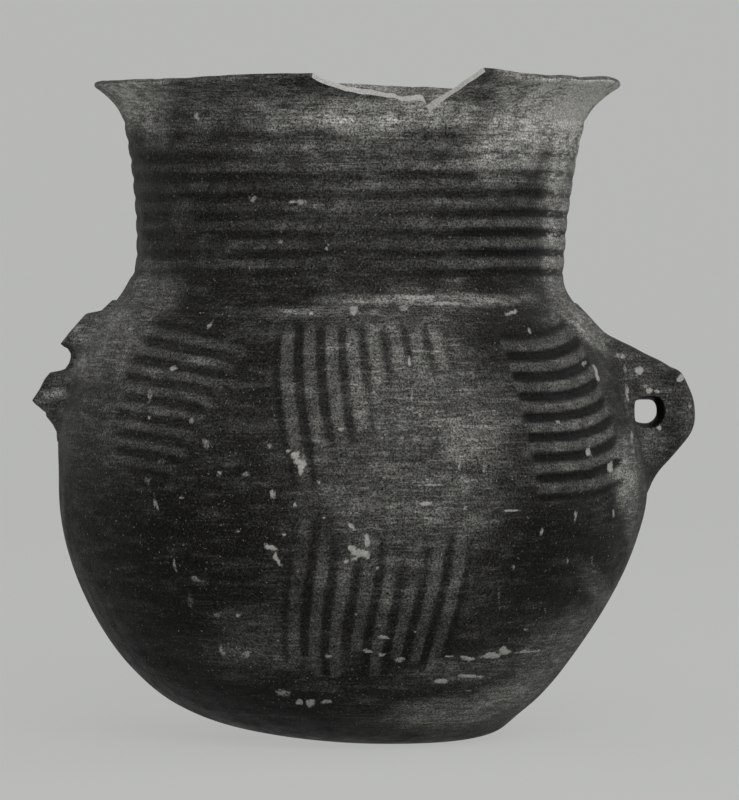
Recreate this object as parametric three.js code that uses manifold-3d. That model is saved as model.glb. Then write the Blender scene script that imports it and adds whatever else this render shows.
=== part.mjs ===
// Hand-built prehistoric jar: round belly, wide ribbed neck, fluted panels and two pierced lugs,
// one whole and one broken. Millimetres, +Z up.
// The origin lies on the resting plane, under the middle of the body. The front faces -Y,
// the whole lug is on the +X side and the broken one on the -X side.
// Angles run from the front (0) towards the whole lug (90) and on to the back (180).

import * as THREE from 'three';
import { mergeVertices } from 'three/addons/utils/BufferGeometryUtils.js';
import Module from 'manifold-3d';

const wasm = await Module();
wasm.setup();

// Outer wall stations, from the ground up: radius, height and lean. The upper ones give their
// height above the station below. Lean is the radius gained per millimetre of height.
const restRadius = 23;
const restLean = 8;
const baseRadius = 50;
const baseHeight = 9.6;
const baseLean = 1.53;
const bellyRadius = 83.4;
const bellyHeight = 71;
const shoulderRadius = 65.3;
const shoulderAboveBelly = 52.4;
const shoulderLean = -0.8;
const waistRadius = 60.2;
const waistAboveShoulder = 11.1;
const neckTopRadius = 65;
const neckTopAboveWaist = 38;
const neckTopLean = 0.22;
const lipRadius = 73.8;
const lipAboveNeck = 11.5;
const lipLean = 1.25;

// Wall thickness, measured square to the wall
const floorThickness = 7;
const bodyThickness = 6;
const neckThickness = 5;
const lipThickness = 2.6;

// Flat joins between the stages in which the wall was built up, measured from the station beside
const bellyJoinBelow = 16;
const shoulderJoinBelow = 23.4;
const neckJoinAbove = 5.2;

// Ribs round the neck, with the grooves between them. The lowest rib lies just below the waist.
const ribCount = 8;
const ribPitch = 5.3;
const lowestRibBelow = 0.7;
const ribGrooveWidth = 2.8;
const ribGrooveDepth = 0.6;

// Fluted panels. The flutes are the grooves, and a ridge stands between each two of them.
const fluteCount = 9;
const fluteWidth = 3.2;
const fluteDepth = 0.7;
const runOut = 0.08;
const bandMiddle = 4.6;
const bandPitch = 4.4;
const bandBelowShoulder = 1.9;
const bandBottom = 24;
const rightPanel = { below: 9.5, pitch: 5.45, innerTop: 31, innerBottom: 41, outer: 73, rise: 3 };
const leftPanel = { below: 11.4, pitch: 4.95, innerTop: -20, innerBottom: -35, outer: -64, rise: 4.5 };

// Lugs: an ear that stands out from the wall, pierced from front to back
const lugTipAboveBelly = 20;
const lugRise = 22;
const lugDrop = 22.5;
const lugEdgeThickness = 8;
const lugRootThickness = 14;
const lugRounding = 3;
const lugRootDepth = 22;
const boreAboveTip = 1;
const boreOffWall = 3.9;
const boreToEdge = 13.9;
const boreRadius = 3.5;
const boreMouthRadius = 5.2;
const boreSkew = 1.6;
const leftLugRise = 15.3;

// Chip broken out of the front of the rim
const chipLeft = -12.4;
const chipRight = 36.4;
const chipDepth = 7.1;
const chipNotch = 20.8;
const chipNotchDepth = 1.7;

// Hand-built unevenness: how far right of the middle the worn flat lies, how far the levels above
// sway from side to side, and the rise and fall of the rim and the ribs
const restShift = 9.5;
const sway = 2.5;
const rimWave = 0.8;
const neckWave = 0.7;

// Clearance between a lug and the wall it was pressed on to
const seatGap = 0.3;

// Facets
const roundFacets = 48;
const wallStep = 14;
const innerStep = 20;

const degree = Math.PI / 180;
const { lerp, clamp, euclideanModulo } = THREE.MathUtils;

// Heights above the ground
const shoulderHeight = bellyHeight + shoulderAboveBelly;
const waistHeight = shoulderHeight + waistAboveShoulder;
const neckTopHeight = waistHeight + neckTopAboveWaist;
const lipHeight = neckTopHeight + lipAboveNeck;
const rimTop = lipHeight + lipThickness;
const bellyJoin = bellyHeight - bellyJoinBelow;
const shoulderJoin = shoulderHeight - shoulderJoinBelow;
const neckJoin = shoulderHeight + neckJoinAbove;
const lowestRib = waistHeight - lowestRibBelow;
const topGroove = lowestRib + (ribCount - 0.5) * ribPitch;
const bandTop = shoulderHeight - bandBelowShoulder;
const lugTipHeight = bellyHeight + lugTipAboveBelly;

// A station of the wall. `before` and `after` say how far the curve keeps to the lean on each
// side, as shares of the distance to the next station.
function station(radius, height, lean, before, after) {
  return { radius, height, lean, before, after };
}

const stations = [
  station(restRadius, 0, restLean, 0, 0.35),
  station(baseRadius, baseHeight, baseLean, 0.33, 0.22),
  station(bellyRadius, bellyHeight, 0, 0.33, 0.4),
  station(shoulderRadius, shoulderHeight, shoulderLean, 0.32, 0.46),
  station(waistRadius, waistHeight, 0, 0.24, 0.3),
  station(neckTopRadius, neckTopHeight, neckTopLean, 0.36, 0.33),
  station(lipRadius, lipHeight, lipLean, 0.38, 0),
];
const thicknesses = [
  floorThickness, bodyThickness, bodyThickness, bodyThickness, neckThickness, neckThickness, lipThickness,
];

// The station's place on a wall that lies `depth` inside the outer one, measured square to it.
function inset(place, depth) {
  const across = Math.hypot(1, place.lean);
  const radius = place.radius - depth / across;
  const height = place.height + depth * place.lean / across;
  return station(radius, height, place.lean, place.before, place.after);
}

// Cubic curves from station to station, tangent to the lean at each one.
function wallCurve(places) {
  const curve = new THREE.CurvePath();
  for (let i = 0; i + 1 < places.length; i++) {
    const low = places[i];
    const high = places[i + 1];
    const start = new THREE.Vector2(low.radius, low.height);
    const end = new THREE.Vector2(high.radius, high.height);
    const span = start.distanceTo(end);
    const leave = new THREE.Vector2(low.lean, 1).setLength(span * low.after);
    const arrive = new THREE.Vector2(high.lean, 1).setLength(span * high.before);
    curve.add(new THREE.CubicBezierCurve(start, start.clone().add(leave), end.clone().sub(arrive), end));
  }
  return curve;
}

const outerWall = wallCurve(stations);
const innerWall = wallCurve(stations.map((place, i) => inset(place, thicknesses[i])));

// How far to the side the middle of each level lies.
const sideways = new THREE.SplineCurve([
  new THREE.Vector2(restShift, 0),
  new THREE.Vector2(0.8 * sway, lerp(0, baseHeight, 0.48)),
  new THREE.Vector2(-0.24 * sway, baseHeight),
  new THREE.Vector2(-0.8 * sway, lerp(baseHeight, bellyJoin, 0.44)),
  new THREE.Vector2(-0.4 * sway, bellyJoin),
  new THREE.Vector2(-0.16 * sway, lerp(bellyHeight, shoulderJoin, 0.1)),
  new THREE.Vector2(-0.96 * sway, lerp(bellyHeight, shoulderJoin, 0.76)),
  new THREE.Vector2(-sway, shoulderHeight),
  new THREE.Vector2(-0.52 * sway, waistHeight),
  new THREE.Vector2(-0.16 * sway, lerp(waistHeight, neckTopHeight, 0.53)),
  new THREE.Vector2(0.08 * sway, neckTopHeight),
  new THREE.Vector2(0.48 * sway, rimTop),
]);

// The parameter at which a curve that climbs steadily reaches a height.
function parameterAt(curve, height) {
  let low = 0;
  let high = 1;
  for (let i = 0; i < 30; i++) {
    const middle = (low + high) / 2;
    if (curve.getPoint(middle).y < height) low = middle;
    else high = middle;
  }
  return (low + high) / 2;
}

// The first coordinate of a climbing curve at a height.
function acrossAt(curve, height) {
  const parts = curve.curves ?? [curve];
  const part = parts.find((one) => height <= one.getPoint(1).y) ?? parts.at(-1);
  return part.getPoint(parameterAt(part, height)).x;
}

// Points along a wall curve between two heights, evenly spaced along the curve.
function wallPoints(curve, from, to, step = wallStep) {
  const start = parameterAt(curve, from);
  const end = parameterAt(curve, to);
  const count = Math.max(1, Math.round(curve.getLength() * (end - start) / step));
  const points = [new THREE.Vector2(acrossAt(curve, from), from)];
  for (let i = 1; i < count; i++) points.push(curve.getPoint(start + (end - start) * i / count));
  points.push(new THREE.Vector2(acrossAt(curve, to), to));
  return points;
}

// The rings of points round the outer wall, from the base up to the neck.
const bodyRings = [
  ...wallPoints(outerWall, baseHeight, bellyJoin),
  ...wallPoints(outerWall, bellyJoin, shoulderJoin).slice(1),
  ...wallPoints(outerWall, shoulderJoin, neckJoin).slice(1),
];

// A point on the facets of the body's outer wall at an angle in degrees, or `off` outside it.
function wallPoint(angle, height, off = 0) {
  const upper = Math.max(1, bodyRings.findIndex((ring) => ring.y >= height));
  const [low, high] = [bodyRings[upper - 1], bodyRings[upper]];
  const share = (height - low.y) / (high.y - low.y || 1);
  const facet = 360 / roundFacets;
  const fromFacetMiddle = euclideanModulo(angle, facet) - facet / 2;
  const flat = Math.cos(facet / 2 * degree) / Math.cos(fromFacetMiddle * degree);
  const radius = lerp(low.x, high.x, share) * flat + off;
  const side = lerp(acrossAt(sideways, low.y), acrossAt(sideways, high.y), share);
  const turn = angle * degree;
  return new THREE.Vector3(side + radius * Math.sin(turn), -radius * Math.cos(turn), height);
}

// The outward normal of the outer wall at an angle and height.
function wallNormal(angle, height) {
  const lean = acrossAt(outerWall, height + 0.5) - acrossAt(outerWall, height - 0.5);
  const turn = angle * degree;
  return new THREE.Vector3(Math.sin(turn), -Math.cos(turn), -lean).normalize();
}

function edit(geometry, change) {
  const places = geometry.getAttribute('position');
  const point = new THREE.Vector3();
  for (let i = 0; i < places.count; i++) {
    point.fromBufferAttribute(places, i);
    change(point);
    places.setXYZ(i, point.x, point.y, point.z);
  }
  return geometry;
}

function toSolid(geometry) {
  geometry.deleteAttribute('normal');
  geometry.deleteAttribute('uv');
  const merged = mergeVertices(geometry, 1e-4);
  const corners = merged.index.array;
  const triangles = [];
  for (let i = 0; i < corners.length; i += 3) {
    const [a, b, c] = corners.slice(i, i + 3);
    if (a !== b && b !== c && c !== a) triangles.push(a, b, c);
  }
  const mesh = new wasm.Mesh({
    numProp: 3,
    vertProperties: Float32Array.from(merged.getAttribute('position').array),
    triVerts: Uint32Array.from(triangles),
  });
  return new wasm.Manifold(mesh);
}

function toMesh(name, solid, color) {
  const { vertProperties, triVerts } = solid.getMesh();
  const geometry = new THREE.BufferGeometry();
  geometry.setAttribute('position', new THREE.BufferAttribute(vertProperties, 3));
  geometry.setIndex(new THREE.BufferAttribute(triVerts, 1));
  const flat = geometry.toNonIndexed();
  flat.computeVertexNormals();
  const material = new THREE.MeshStandardMaterial({ color, roughness: 0.62, metalness: 0 });
  const mesh = new THREE.Mesh(flat, material);
  mesh.name = name;
  return mesh;
}

// A ring or a bowl: the outline is turned about the upright axis, its first point at the front.
function turned(outline) {
  const geometry = new THREE.LatheGeometry(outline, roundFacets);
  geometry.rotateX(Math.PI / 2);
  return geometry;
}

// An outline drawn in the XZ plane, given a thickness from the front to the back.
function ear(outline, thickness, rounding) {
  const geometry = new THREE.ExtrudeGeometry(outline, {
    depth: thickness - 2 * rounding,
    bevelEnabled: rounding > 0,
    bevelThickness: rounding,
    bevelSize: rounding,
    bevelOffset: -rounding,
    bevelSegments: 2,
    curveSegments: 8,
  });
  geometry.rotateX(Math.PI / 2);
  geometry.translate(0, thickness / 2 - rounding, 0);
  return geometry;
}

// The jar's unevenness: each level moves sideways, the ribs dip on the left of the front and
// the rim rises and falls. Nothing moves up or down at a join.
function unevenness(point) {
  const turn = Math.atan2(point.x, -point.y);
  const height = point.z;
  const side = acrossAt(sideways, height);
  if (height > neckJoin && height < topGroove) {
    const share = (height - neckJoin) / (topGroove - neckJoin);
    point.z -= neckWave * Math.sin(Math.PI * share) * Math.cos(2 * turn + 1.4);
  }
  if (height > topGroove) {
    const share = Math.min(1, (height - topGroove) / (lipHeight - topGroove));
    point.z += rimWave * share * share * (Math.cos(turn - 0.9) + 0.35 * Math.cos(3 * turn - 1.2));
  }
  point.x += side;
}

// Closed outline of a ring of wall between two joins.
function ringOutline(outer, from, to) {
  const inner = wallPoints(innerWall, from, to, innerStep).reverse();
  return [...outer, ...inner, outer[0].clone()];
}

function wallRing(from, to) {
  return toSolid(edit(turned(ringOutline(wallPoints(outerWall, from, to), from, to)), unevenness));
}

// Base: a thick round-bottomed slab with the worn resting flat under it.
function base() {
  const under = wallPoints(outerWall, 0, baseHeight);
  const floorEdge = inset(stations[0], floorThickness);
  const inner = wallPoints(innerWall, floorEdge.height, baseHeight).reverse();
  const middle = new THREE.Vector2(0, floorEdge.height);
  const outline = [new THREE.Vector2(0, 0), ...under, ...inner, middle];
  return toSolid(edit(turned(outline), unevenness));
}

// The neck's outer wall between its joins. Each groove is a shallow V with a flat-topped rib
// on each side of it.
function neckOuter() {
  const points = [new THREE.Vector2(acrossAt(outerWall, neckJoin), neckJoin)];
  for (let i = 0; i <= ribCount; i++) {
    const groove = lowestRib + (i - 0.5) * ribPitch;
    const half = ribGrooveWidth / 2;
    const bottom = new THREE.Vector2(acrossAt(outerWall, groove) - ribGrooveDepth, groove);
    points.push(new THREE.Vector2(acrossAt(outerWall, groove - half), groove - half), bottom);
    if (i < ribCount) points.push(new THREE.Vector2(acrossAt(outerWall, groove + half), groove + half));
  }
  return points;
}

function neck() {
  return toSolid(edit(turned(ringOutline(neckOuter(), neckJoin, topGroove)), unevenness));
}

// Rim: the flare above the top groove, ending in a thin rounded lip.
function rimRing() {
  const half = ribGrooveWidth / 2;
  const grooveBottom = new THREE.Vector2(acrossAt(outerWall, topGroove) - ribGrooveDepth, topGroove);
  const flare = wallPoints(outerWall, topGroove + half, lipHeight, 3);
  const inside = inset(stations.at(-1), lipThickness);
  const outerEdge = new THREE.Vector2(lipRadius, lipHeight);
  const innerEdge = new THREE.Vector2(inside.radius, inside.height);
  const crown = new THREE.Vector2(lipRadius, lipHeight + lipThickness / 2);
  const lip = new THREE.QuadraticBezierCurve(outerEdge, crown, innerEdge).getPoints(3).slice(1, -1);
  const inner = wallPoints(innerWall, topGroove, inside.height, 4).reverse();
  return toSolid(edit(turned([grooveBottom, ...flare, ...lip, ...inner, grooveBottom.clone()]), unevenness));
}

// The bite out of the front of the rim: one long shallow scallop and a nick at its deepest end.
// It is drawn in shares of its width and depth.
function chip() {
  const along = (share) => lerp(chipLeft, chipRight, share);
  const level = (share) => lipHeight - chipDepth * share;
  const above = rimTop + chipDepth;
  const nick = (chipNotch - chipLeft) / (chipRight - chipLeft);
  const shape = new THREE.Shape();
  shape.moveTo(chipLeft, above);
  shape.lineTo(chipLeft, level(-0.13));
  shape.bezierCurveTo(along(0.08), level(0.52), along(0.29), level(0.86), along(nick - 0.03), level(1));
  shape.lineTo(chipNotch, level(1) - chipNotchDepth);
  shape.lineTo(along(nick + 0.05), level(1.08));
  shape.bezierCurveTo(along(0.84), level(0.69), along(0.94), level(0.3), chipRight, rimTop);
  shape.lineTo(chipRight, above);
  const settings = { depth: lipRadius, bevelEnabled: false, curveSegments: 6 };
  const geometry = new THREE.ExtrudeGeometry(shape, settings);
  geometry.rotateX(Math.PI / 2);
  return toSolid(geometry);
}

function rim() {
  return rimRing().subtract(chip());
}

// Where a run of marks is crossed on the way from one value to another, as shares of the way.
function crossings(from, to, marks) {
  return marks.map((mark) => (mark - from) / (to - from)).filter((share) => share > 0.01 && share < 0.99);
}

// A line on the wall from one place to another, with a point wherever it crosses an edge of the
// wall's facets. It leaves the wall at both ends, so that what is swept along it runs out there.
class WallLine extends THREE.Curve {
  constructor(from, to) {
    super();
    this.from = from;
    this.to = to;
    const facet = 360 / roundFacets;
    const uprights = Array.from({ length: 2 * roundFacets }, (_, i) => (i - roundFacets / 2) * facet);
    const levels = bodyRings.map((ring) => ring.y);
    const shares = [0, runOut, 1 - runOut, 1];
    shares.push(...crossings(from.angle, to.angle, uprights), ...crossings(from.height, to.height, levels));
    shares.sort((a, b) => a - b);
    this.shares = shares.filter((share, i) => i === 0 || share - shares[i - 1] > 0.01);
  }

  angleAt(share) {
    return lerp(this.from.angle, this.to.angle, share);
  }

  heightAt(share) {
    return lerp(this.from.height, this.to.height, share);
  }

  getPoint(share, target = new THREE.Vector3()) {
    const lift = Math.max(0, 1 - share / runOut, 1 - (1 - share) / runOut) * fluteDepth * 1.3;
    return target.copy(wallPoint(this.angleAt(share), this.heightAt(share), lift));
  }

  getSpacedPoints() {
    return this.shares.map((share) => this.getPoint(share));
  }

  // The sweep stands square on the wall all along the line.
  computeFrenetFrames() {
    const frames = { tangents: [], normals: [], binormals: [] };
    for (const share of this.shares) {
      const tangent = this.getTangent(share);
      const normal = wallNormal(this.angleAt(share), this.heightAt(share));
      frames.tangents.push(tangent);
      frames.normals.push(normal);
      frames.binormals.push(new THREE.Vector3().crossVectors(tangent, normal).normalize());
    }
    return frames;
  }
}

// Cutter for one flute: a V as deep as the flute, its mouth clear of the wall.
function flute(from, to) {
  const clear = 1.2;
  const half = fluteWidth / 2 * (fluteDepth + clear) / fluteDepth;
  const section = new THREE.Shape();
  section.moveTo(-fluteDepth, 0);
  section.lineTo(clear, -half);
  section.lineTo(clear, half);
  const extrudePath = new WallLine(from, to);
  const steps = extrudePath.shares.length - 1;
  return toSolid(new THREE.ExtrudeGeometry(section, { steps, extrudePath, bevelEnabled: false }));
}

// The upright band of flutes in the middle of a side, at the front or turned to the back.
function bandFlutes(turn) {
  const cutters = [];
  for (let i = 0; i < fluteCount; i++) {
    const angle = bandMiddle + (i - (fluteCount - 1) / 2) * bandPitch + turn;
    cutters.push(flute({ angle, height: bandTop }, { angle, height: bandBottom }));
  }
  return cutters;
}

// A panel of level flutes beside a lug. They climb a little towards the lug, and each one
// starts further from the middle than the one above it. The back has the front's mirror image.
function panelFlutes(panel, atBack) {
  const cutters = [];
  for (let i = 0; i < fluteCount; i++) {
    const height = shoulderHeight - panel.below - i * panel.pitch;
    const inner = lerp(panel.innerTop, panel.innerBottom, i / (fluteCount - 1));
    const place = (angle) => (atBack ? 180 - angle : angle);
    const start = { angle: place(inner), height };
    const end = { angle: place(panel.outer), height: height + panel.rise };
    cutters.push(flute(start, end));
  }
  return cutters;
}

const flutes = wasm.Manifold.union([
  ...bandFlutes(0),
  ...bandFlutes(180),
  ...[rightPanel, leftPanel].flatMap((panel) => [...panelFlutes(panel, false), ...panelFlutes(panel, true)]),
]);

// The outside of the body as a solid, grown by the clearance that the lugs keep to it.
function bodyCore() {
  const rings = bodyRings.filter((ring) => ring.y >= bellyJoin);
  const outline = rings.map((ring) => new THREE.Vector2(ring.x + seatGap, ring.y));
  const low = new THREE.Vector2(0, bellyJoin);
  const high = new THREE.Vector2(0, neckJoin);
  return toSolid(edit(turned([low, ...outline, high]), unevenness));
}

// Where a lug's string hole lies: outside the wall on its own side.
function holeOf(side, rise) {
  const height = lugTipHeight + boreAboveTip + rise;
  const wall = acrossAt(outerWall, height) + side * acrossAt(sideways, height);
  return { side, distance: wall + boreOffWall, height };
}

const rightHole = holeOf(1, 0);
const leftHole = holeOf(-1, leftLugRise);

// A lug is thick where it joins the wall and thinner at its edge.
function lugTaper(hole) {
  const wall = hole.distance - boreRadius;
  const edge = hole.distance + boreToEdge;
  return (point) => {
    const share = clamp((Math.abs(point.x) - wall) / (edge - wall), 0, 1);
    point.y *= lerp(lugRootThickness / lugEdgeThickness, 1, share);
  };
}

// The string hole: narrow in the middle, opened wider from both faces towards the lug's edge.
function bore(hole) {
  const end = lugRootThickness;
  const waist = boreRadius / 3;
  const reach = boreMouthRadius + (boreMouthRadius - boreRadius);
  const outline = [
    new THREE.Vector2(0, -end),
    new THREE.Vector2(reach, -end),
    new THREE.Vector2(boreRadius, -waist),
    new THREE.Vector2(boreRadius, waist),
    new THREE.Vector2(reach, end),
    new THREE.Vector2(0, end),
  ];
  const geometry = new THREE.LatheGeometry(outline, 20);
  const skew = hole.side * boreSkew * 2 / end;
  edit(geometry, (point) => point.setX(point.x + skew * Math.max(0, Math.abs(point.y) - waist)));
  geometry.translate(hole.side * hole.distance, 0, hole.height);
  return toSolid(geometry);
}

// Whole lug: a sloping top, a round tip and an underside that runs back into the belly. The
// outline is drawn from the hole out to the edge, and in shares of the rise above the tip and of
// the drop below it.
function rightLug(core) {
  const out = (share) => rightHole.distance + boreToEdge * share;
  const up = (share) => lugTipHeight + lugRise * share;
  const down = (share) => lugTipHeight - lugDrop * share;
  const root = rightHole.distance - lugRootDepth;
  const shape = new THREE.Shape();
  shape.moveTo(root, down(1));
  shape.lineTo(out(0.07), down(1));
  shape.bezierCurveTo(out(0.22), down(0.73), out(1), down(0.44), out(1), lugTipHeight);
  shape.bezierCurveTo(out(1), up(0.41), out(0.78), up(0.55), out(0.57), up(0.61));
  shape.lineTo(out(-0.79), up(1));
  shape.lineTo(root, up(1));
  const body = toSolid(edit(ear(shape, lugEdgeThickness, lugRounding), lugTaper(rightHole)));
  return body.subtract(core).subtract(bore(rightHole));
}

// Broken lug: what is left above and below the hole after the outer part snapped off. The break
// is drawn from the hole outwards and upwards, in shares of the way to a whole lug's edge.
const breakLine = [
  [-0.86, 0.95], [-0.5, 0.88], [-0.14, 0.49], [0.01, 0.27], [-0.19, 0.1], [-0.17, -0.12],
  [0.01, -0.27], [0.33, -0.43], [0.62, -0.88], [0.5, -0.98], [0.26, -1.19], [0.03, -1.58],
];
function leftLugStump(core) {
  const out = (share) => -leftHole.distance - boreToEdge * share;
  const up = (share) => leftHole.height + boreToEdge * share;
  const root = lugRootDepth - leftHole.distance;
  const shape = new THREE.Shape();
  shape.moveTo(root, up(breakLine[0][1]));
  for (const [outward, upward] of breakLine) shape.lineTo(out(outward), up(upward));
  shape.lineTo(root, up(breakLine.at(-1)[1] - 0.3));
  const body = toSolid(edit(ear(shape, lugEdgeThickness, 0), lugTaper(leftHole)));
  return body.subtract(core);
}

const clay = 0x3b3835;
const jar = new THREE.Group();
const core = bodyCore();
jar.add(toMesh('base', base(), clay));
jar.add(toMesh('lower_wall', wallRing(baseHeight, bellyJoin).subtract(flutes), 0x3f3b38));
jar.add(toMesh('belly_wall', wallRing(bellyJoin, shoulderJoin).subtract(flutes), 0x433f3b));
jar.add(toMesh('shoulder', wallRing(shoulderJoin, neckJoin).subtract(flutes), 0x3f3b38));
jar.add(toMesh('neck', neck(), 0x433f3b));
jar.add(toMesh('rim', rim(), 0x4a4540));
jar.add(toMesh('right_lug', rightLug(core), 0x4a4540));
jar.add(toMesh('left_lug_stump', leftLugStump(core), 0x4a4540));

export default jar;
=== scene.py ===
"""Hand-built prehistoric jar with a ribbed neck, fluted panels and two lugs, one of them broken.

Metres, +Z up. The front faces -Y, the whole lug is at +X and the broken one at -X.
A turn is an angle round the jar in radians: 0 at the front, a quarter turn at the whole lug.
"""

import math

import bpy
import numpy as np
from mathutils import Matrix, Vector


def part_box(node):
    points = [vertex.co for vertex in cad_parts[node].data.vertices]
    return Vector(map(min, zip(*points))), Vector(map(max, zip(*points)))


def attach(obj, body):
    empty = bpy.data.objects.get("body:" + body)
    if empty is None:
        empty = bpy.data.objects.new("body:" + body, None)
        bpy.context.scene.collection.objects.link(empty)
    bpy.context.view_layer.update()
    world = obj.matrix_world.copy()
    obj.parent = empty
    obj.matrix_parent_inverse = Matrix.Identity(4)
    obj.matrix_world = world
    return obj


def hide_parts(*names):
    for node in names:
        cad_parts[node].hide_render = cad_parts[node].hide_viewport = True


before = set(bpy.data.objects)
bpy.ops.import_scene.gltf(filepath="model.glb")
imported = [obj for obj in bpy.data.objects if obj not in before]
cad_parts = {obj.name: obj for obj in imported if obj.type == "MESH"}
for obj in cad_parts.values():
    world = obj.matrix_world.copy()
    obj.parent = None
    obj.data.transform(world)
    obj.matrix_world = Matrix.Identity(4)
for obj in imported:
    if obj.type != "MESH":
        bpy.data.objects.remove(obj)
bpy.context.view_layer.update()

bl_info = {
    "name": "Lugged jar",
    "version": (1, 0, 0),
    "blender": (4, 5, 0),
    "location": "3D View > Sidebar > Jar",
    "description": "Builds a hand-made prehistoric jar of black burnished clay on a plain stage",
    "category": "Add Mesh",
}

MM = 0.001


def height_of(node):
    """Lowest and highest level of a node of the frame."""
    low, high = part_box(node)
    return low[2], high[2]


BASE_JOIN = height_of("base")[1]
BELLY_JOIN = height_of("lower_wall")[1]
SHOULDER_JOIN = height_of("belly_wall")[1]
NECK_JOIN = height_of("shoulder")[1]


def length(name, description, millimetres):
    return bpy.props.FloatProperty(
        name=name, description=description, default=millimetres * MM, subtype="DISTANCE", unit="LENGTH")


def turn(name, description, degrees):
    return bpy.props.FloatProperty(
        name=name, description=description, default=math.radians(degrees), subtype="ANGLE", unit="ROTATION")


def amount(name, description, value):
    return bpy.props.FloatProperty(name=name, description=description, default=value)


def power(name, description, watts):
    return bpy.props.FloatProperty(name=name, description=description, default=watts, unit="POWER")


def colour(name, description, red, green, blue):
    return bpy.props.FloatVectorProperty(
        name=name, description=description, default=(red, green, blue), subtype="COLOR", min=0, max=1)


class JarWall(bpy.types.PropertyGroup):
    """Profile of the wall: radius and height of its stations, and how far it leans out at each."""
    rest_radius: length("Rest radius", "Radius of the worn flat the jar stands on", 23)
    rest_lean: amount("Rest lean", "Radius gained for each unit of height at the flat", 8)
    base_radius: length("Base radius", "Radius where the rounded base meets the lower wall", 50)
    base_lean: amount("Base lean", "Radius gained for each unit of height at the base join", 1.53)
    belly_radius: length("Belly radius", "Largest radius of the body", 83.4)
    belly_height: length("Belly height", "Height of the largest radius", 71)
    shoulder_radius: length("Shoulder radius", "Radius at the top of the shoulder", 64.7)
    shoulder_height: length("Shoulder height", "Height of the top of the shoulder", 123.4)
    shoulder_lean: amount("Shoulder lean", "Radius gained for each unit of height at the shoulder", -0.8)
    waist_radius: length("Waist radius", "Smallest radius of the neck", 60.8)
    waist_height: length("Waist height", "Height of the smallest radius of the neck", 134.5)
    neck_top_radius: length("Neck top radius", "Radius under the flare of the rim", 65)
    neck_top_height: length("Neck top height", "Height under the flare of the rim", 172.5)
    neck_top_lean: amount("Neck top lean", "Radius gained for each unit of height under the flare", 0.22)
    lip_radius: length("Lip radius", "Radius of the outer edge of the lip", 74.5)
    lip_height: length("Lip height", "Height of the outer edge of the lip", 185)
    lip_lean: amount("Lip lean", "Radius gained for each unit of height at the lip", 1.25)
    floor_thickness: length("Floor thickness", "Clay under the inside of the jar", 7)
    body_thickness: length("Body thickness", "Clay of the body wall", 6)
    neck_thickness: length("Neck thickness", "Clay of the neck wall", 5)
    lip_thickness: length("Lip thickness", "Clay at the lip", 2.1)
    rim_wave: amount("Rim wave", "Share of the rise and fall of the rim that is shown", 1)
    neck_wave: length("Neck wave", "Dip of the ribs round the neck", 0.7)
    dent: length("Dents", "Depth of the shallow hollows left by the potter's hands", 0.28)


class JarRelief(bpy.types.PropertyGroup):
    """Ribs of the neck, flutes of the body and the bite out of the rim."""
    rib_count: bpy.props.IntProperty(name="Ribs", description="Ribs round the neck", default=8, min=0)
    rib_pitch: length("Rib pitch", "Height from one rib to the next", 5.3)
    lowest_rib: length("Lowest rib", "Height of the lowest rib", 133.8)
    rib_depth: length("Rib depth", "Depth of the grooves between the ribs", 0.36)
    flute_count: bpy.props.IntProperty(name="Flutes", description="Flutes in a panel", default=9, min=0)
    flute_width: length("Flute width", "Width of a flute", 4.7)
    flute_depth: length("Flute depth", "Depth of a flute", 0.8)
    band_right: turn("Band right", "Where the last ridge of the upright band stands", 21.2)
    band_pitch: turn("Band pitch", "Angle between two upright flutes at the ends of the band", 4.74)
    band_waist: turn("Band waist", "How much closer the upright flutes stand half-way down", 0.47)
    band_top: length("Band top", "Height at which the upright flutes start", 121.5)
    band_bottom: length("Band bottom", "Height at which the upright flutes end", 24)


class JarLugs(bpy.types.PropertyGroup):
    """The pierced lugs."""
    bore_distance: length("Hole distance", "From the middle of the jar to the string hole", 82.1)
    bore_height: length("Hole height", "Height of the string hole", 92)
    bore_radius: length("Hole radius", "Radius of the string hole in the middle of the lug", 3.35)
    mouth_radius: length("Hole mouth radius", "Radius of the string hole at the faces of the lug", 4.5)
    bore_skew: length("Hole skew", "How far the mouths of the hole lie further out", 1.2)
    edge_thickness: length("Edge thickness", "Thickness of a lug at its edge", 8)
    root_thickness: length("Root thickness", "Thickness of a lug at the wall", 13)
    reach: length("Lug reach", "How far a lug stands out from the wall", 18)
    root_depth: length("Root depth", "How deep a lug is set into the wall", 4.6)
    fillet: length("Fillet", "Radius of the hollow in which a lug's sides run out on the wall", 9)
    left_rise: length("Left lug rise", "How much higher the broken lug sits", 15.3)


class JarFinish(bpy.types.PropertyGroup):
    """Colours of the clay, its rubbing and its crust, and of the painted shade and painted highlights laid
    on it.
    """
    clay: colour("Clay", "Smoke-blackened burnished clay", 0.0175, 0.017, 0.0154)
    # Painted shade: this dark colour is laid in the bottom of the grooves and in the lug's hole, where
    # shade falls
    furrow: colour("Furrows", "Clay in the bottom of the grooves", 0.0055, 0.0053, 0.0048)
    # Painted highlights use this colour too, besides clay rubbed bare
    worn: colour("Worn clay", "Clay rubbed bare of its black skin", 0.27, 0.268, 0.25)
    broken: colour("Breaks", "Bare clay in the broken faces", 0.6, 0.59, 0.56)
    crust: colour("Crust", "Lime crust left by the soil", 0.47, 0.463, 0.435)
    roughness: amount("Roughness", "Roughness of the burnished clay", 0.52)
    gloss: amount("Gloss", "Specular level of the burnished clay", 0.06)


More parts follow.
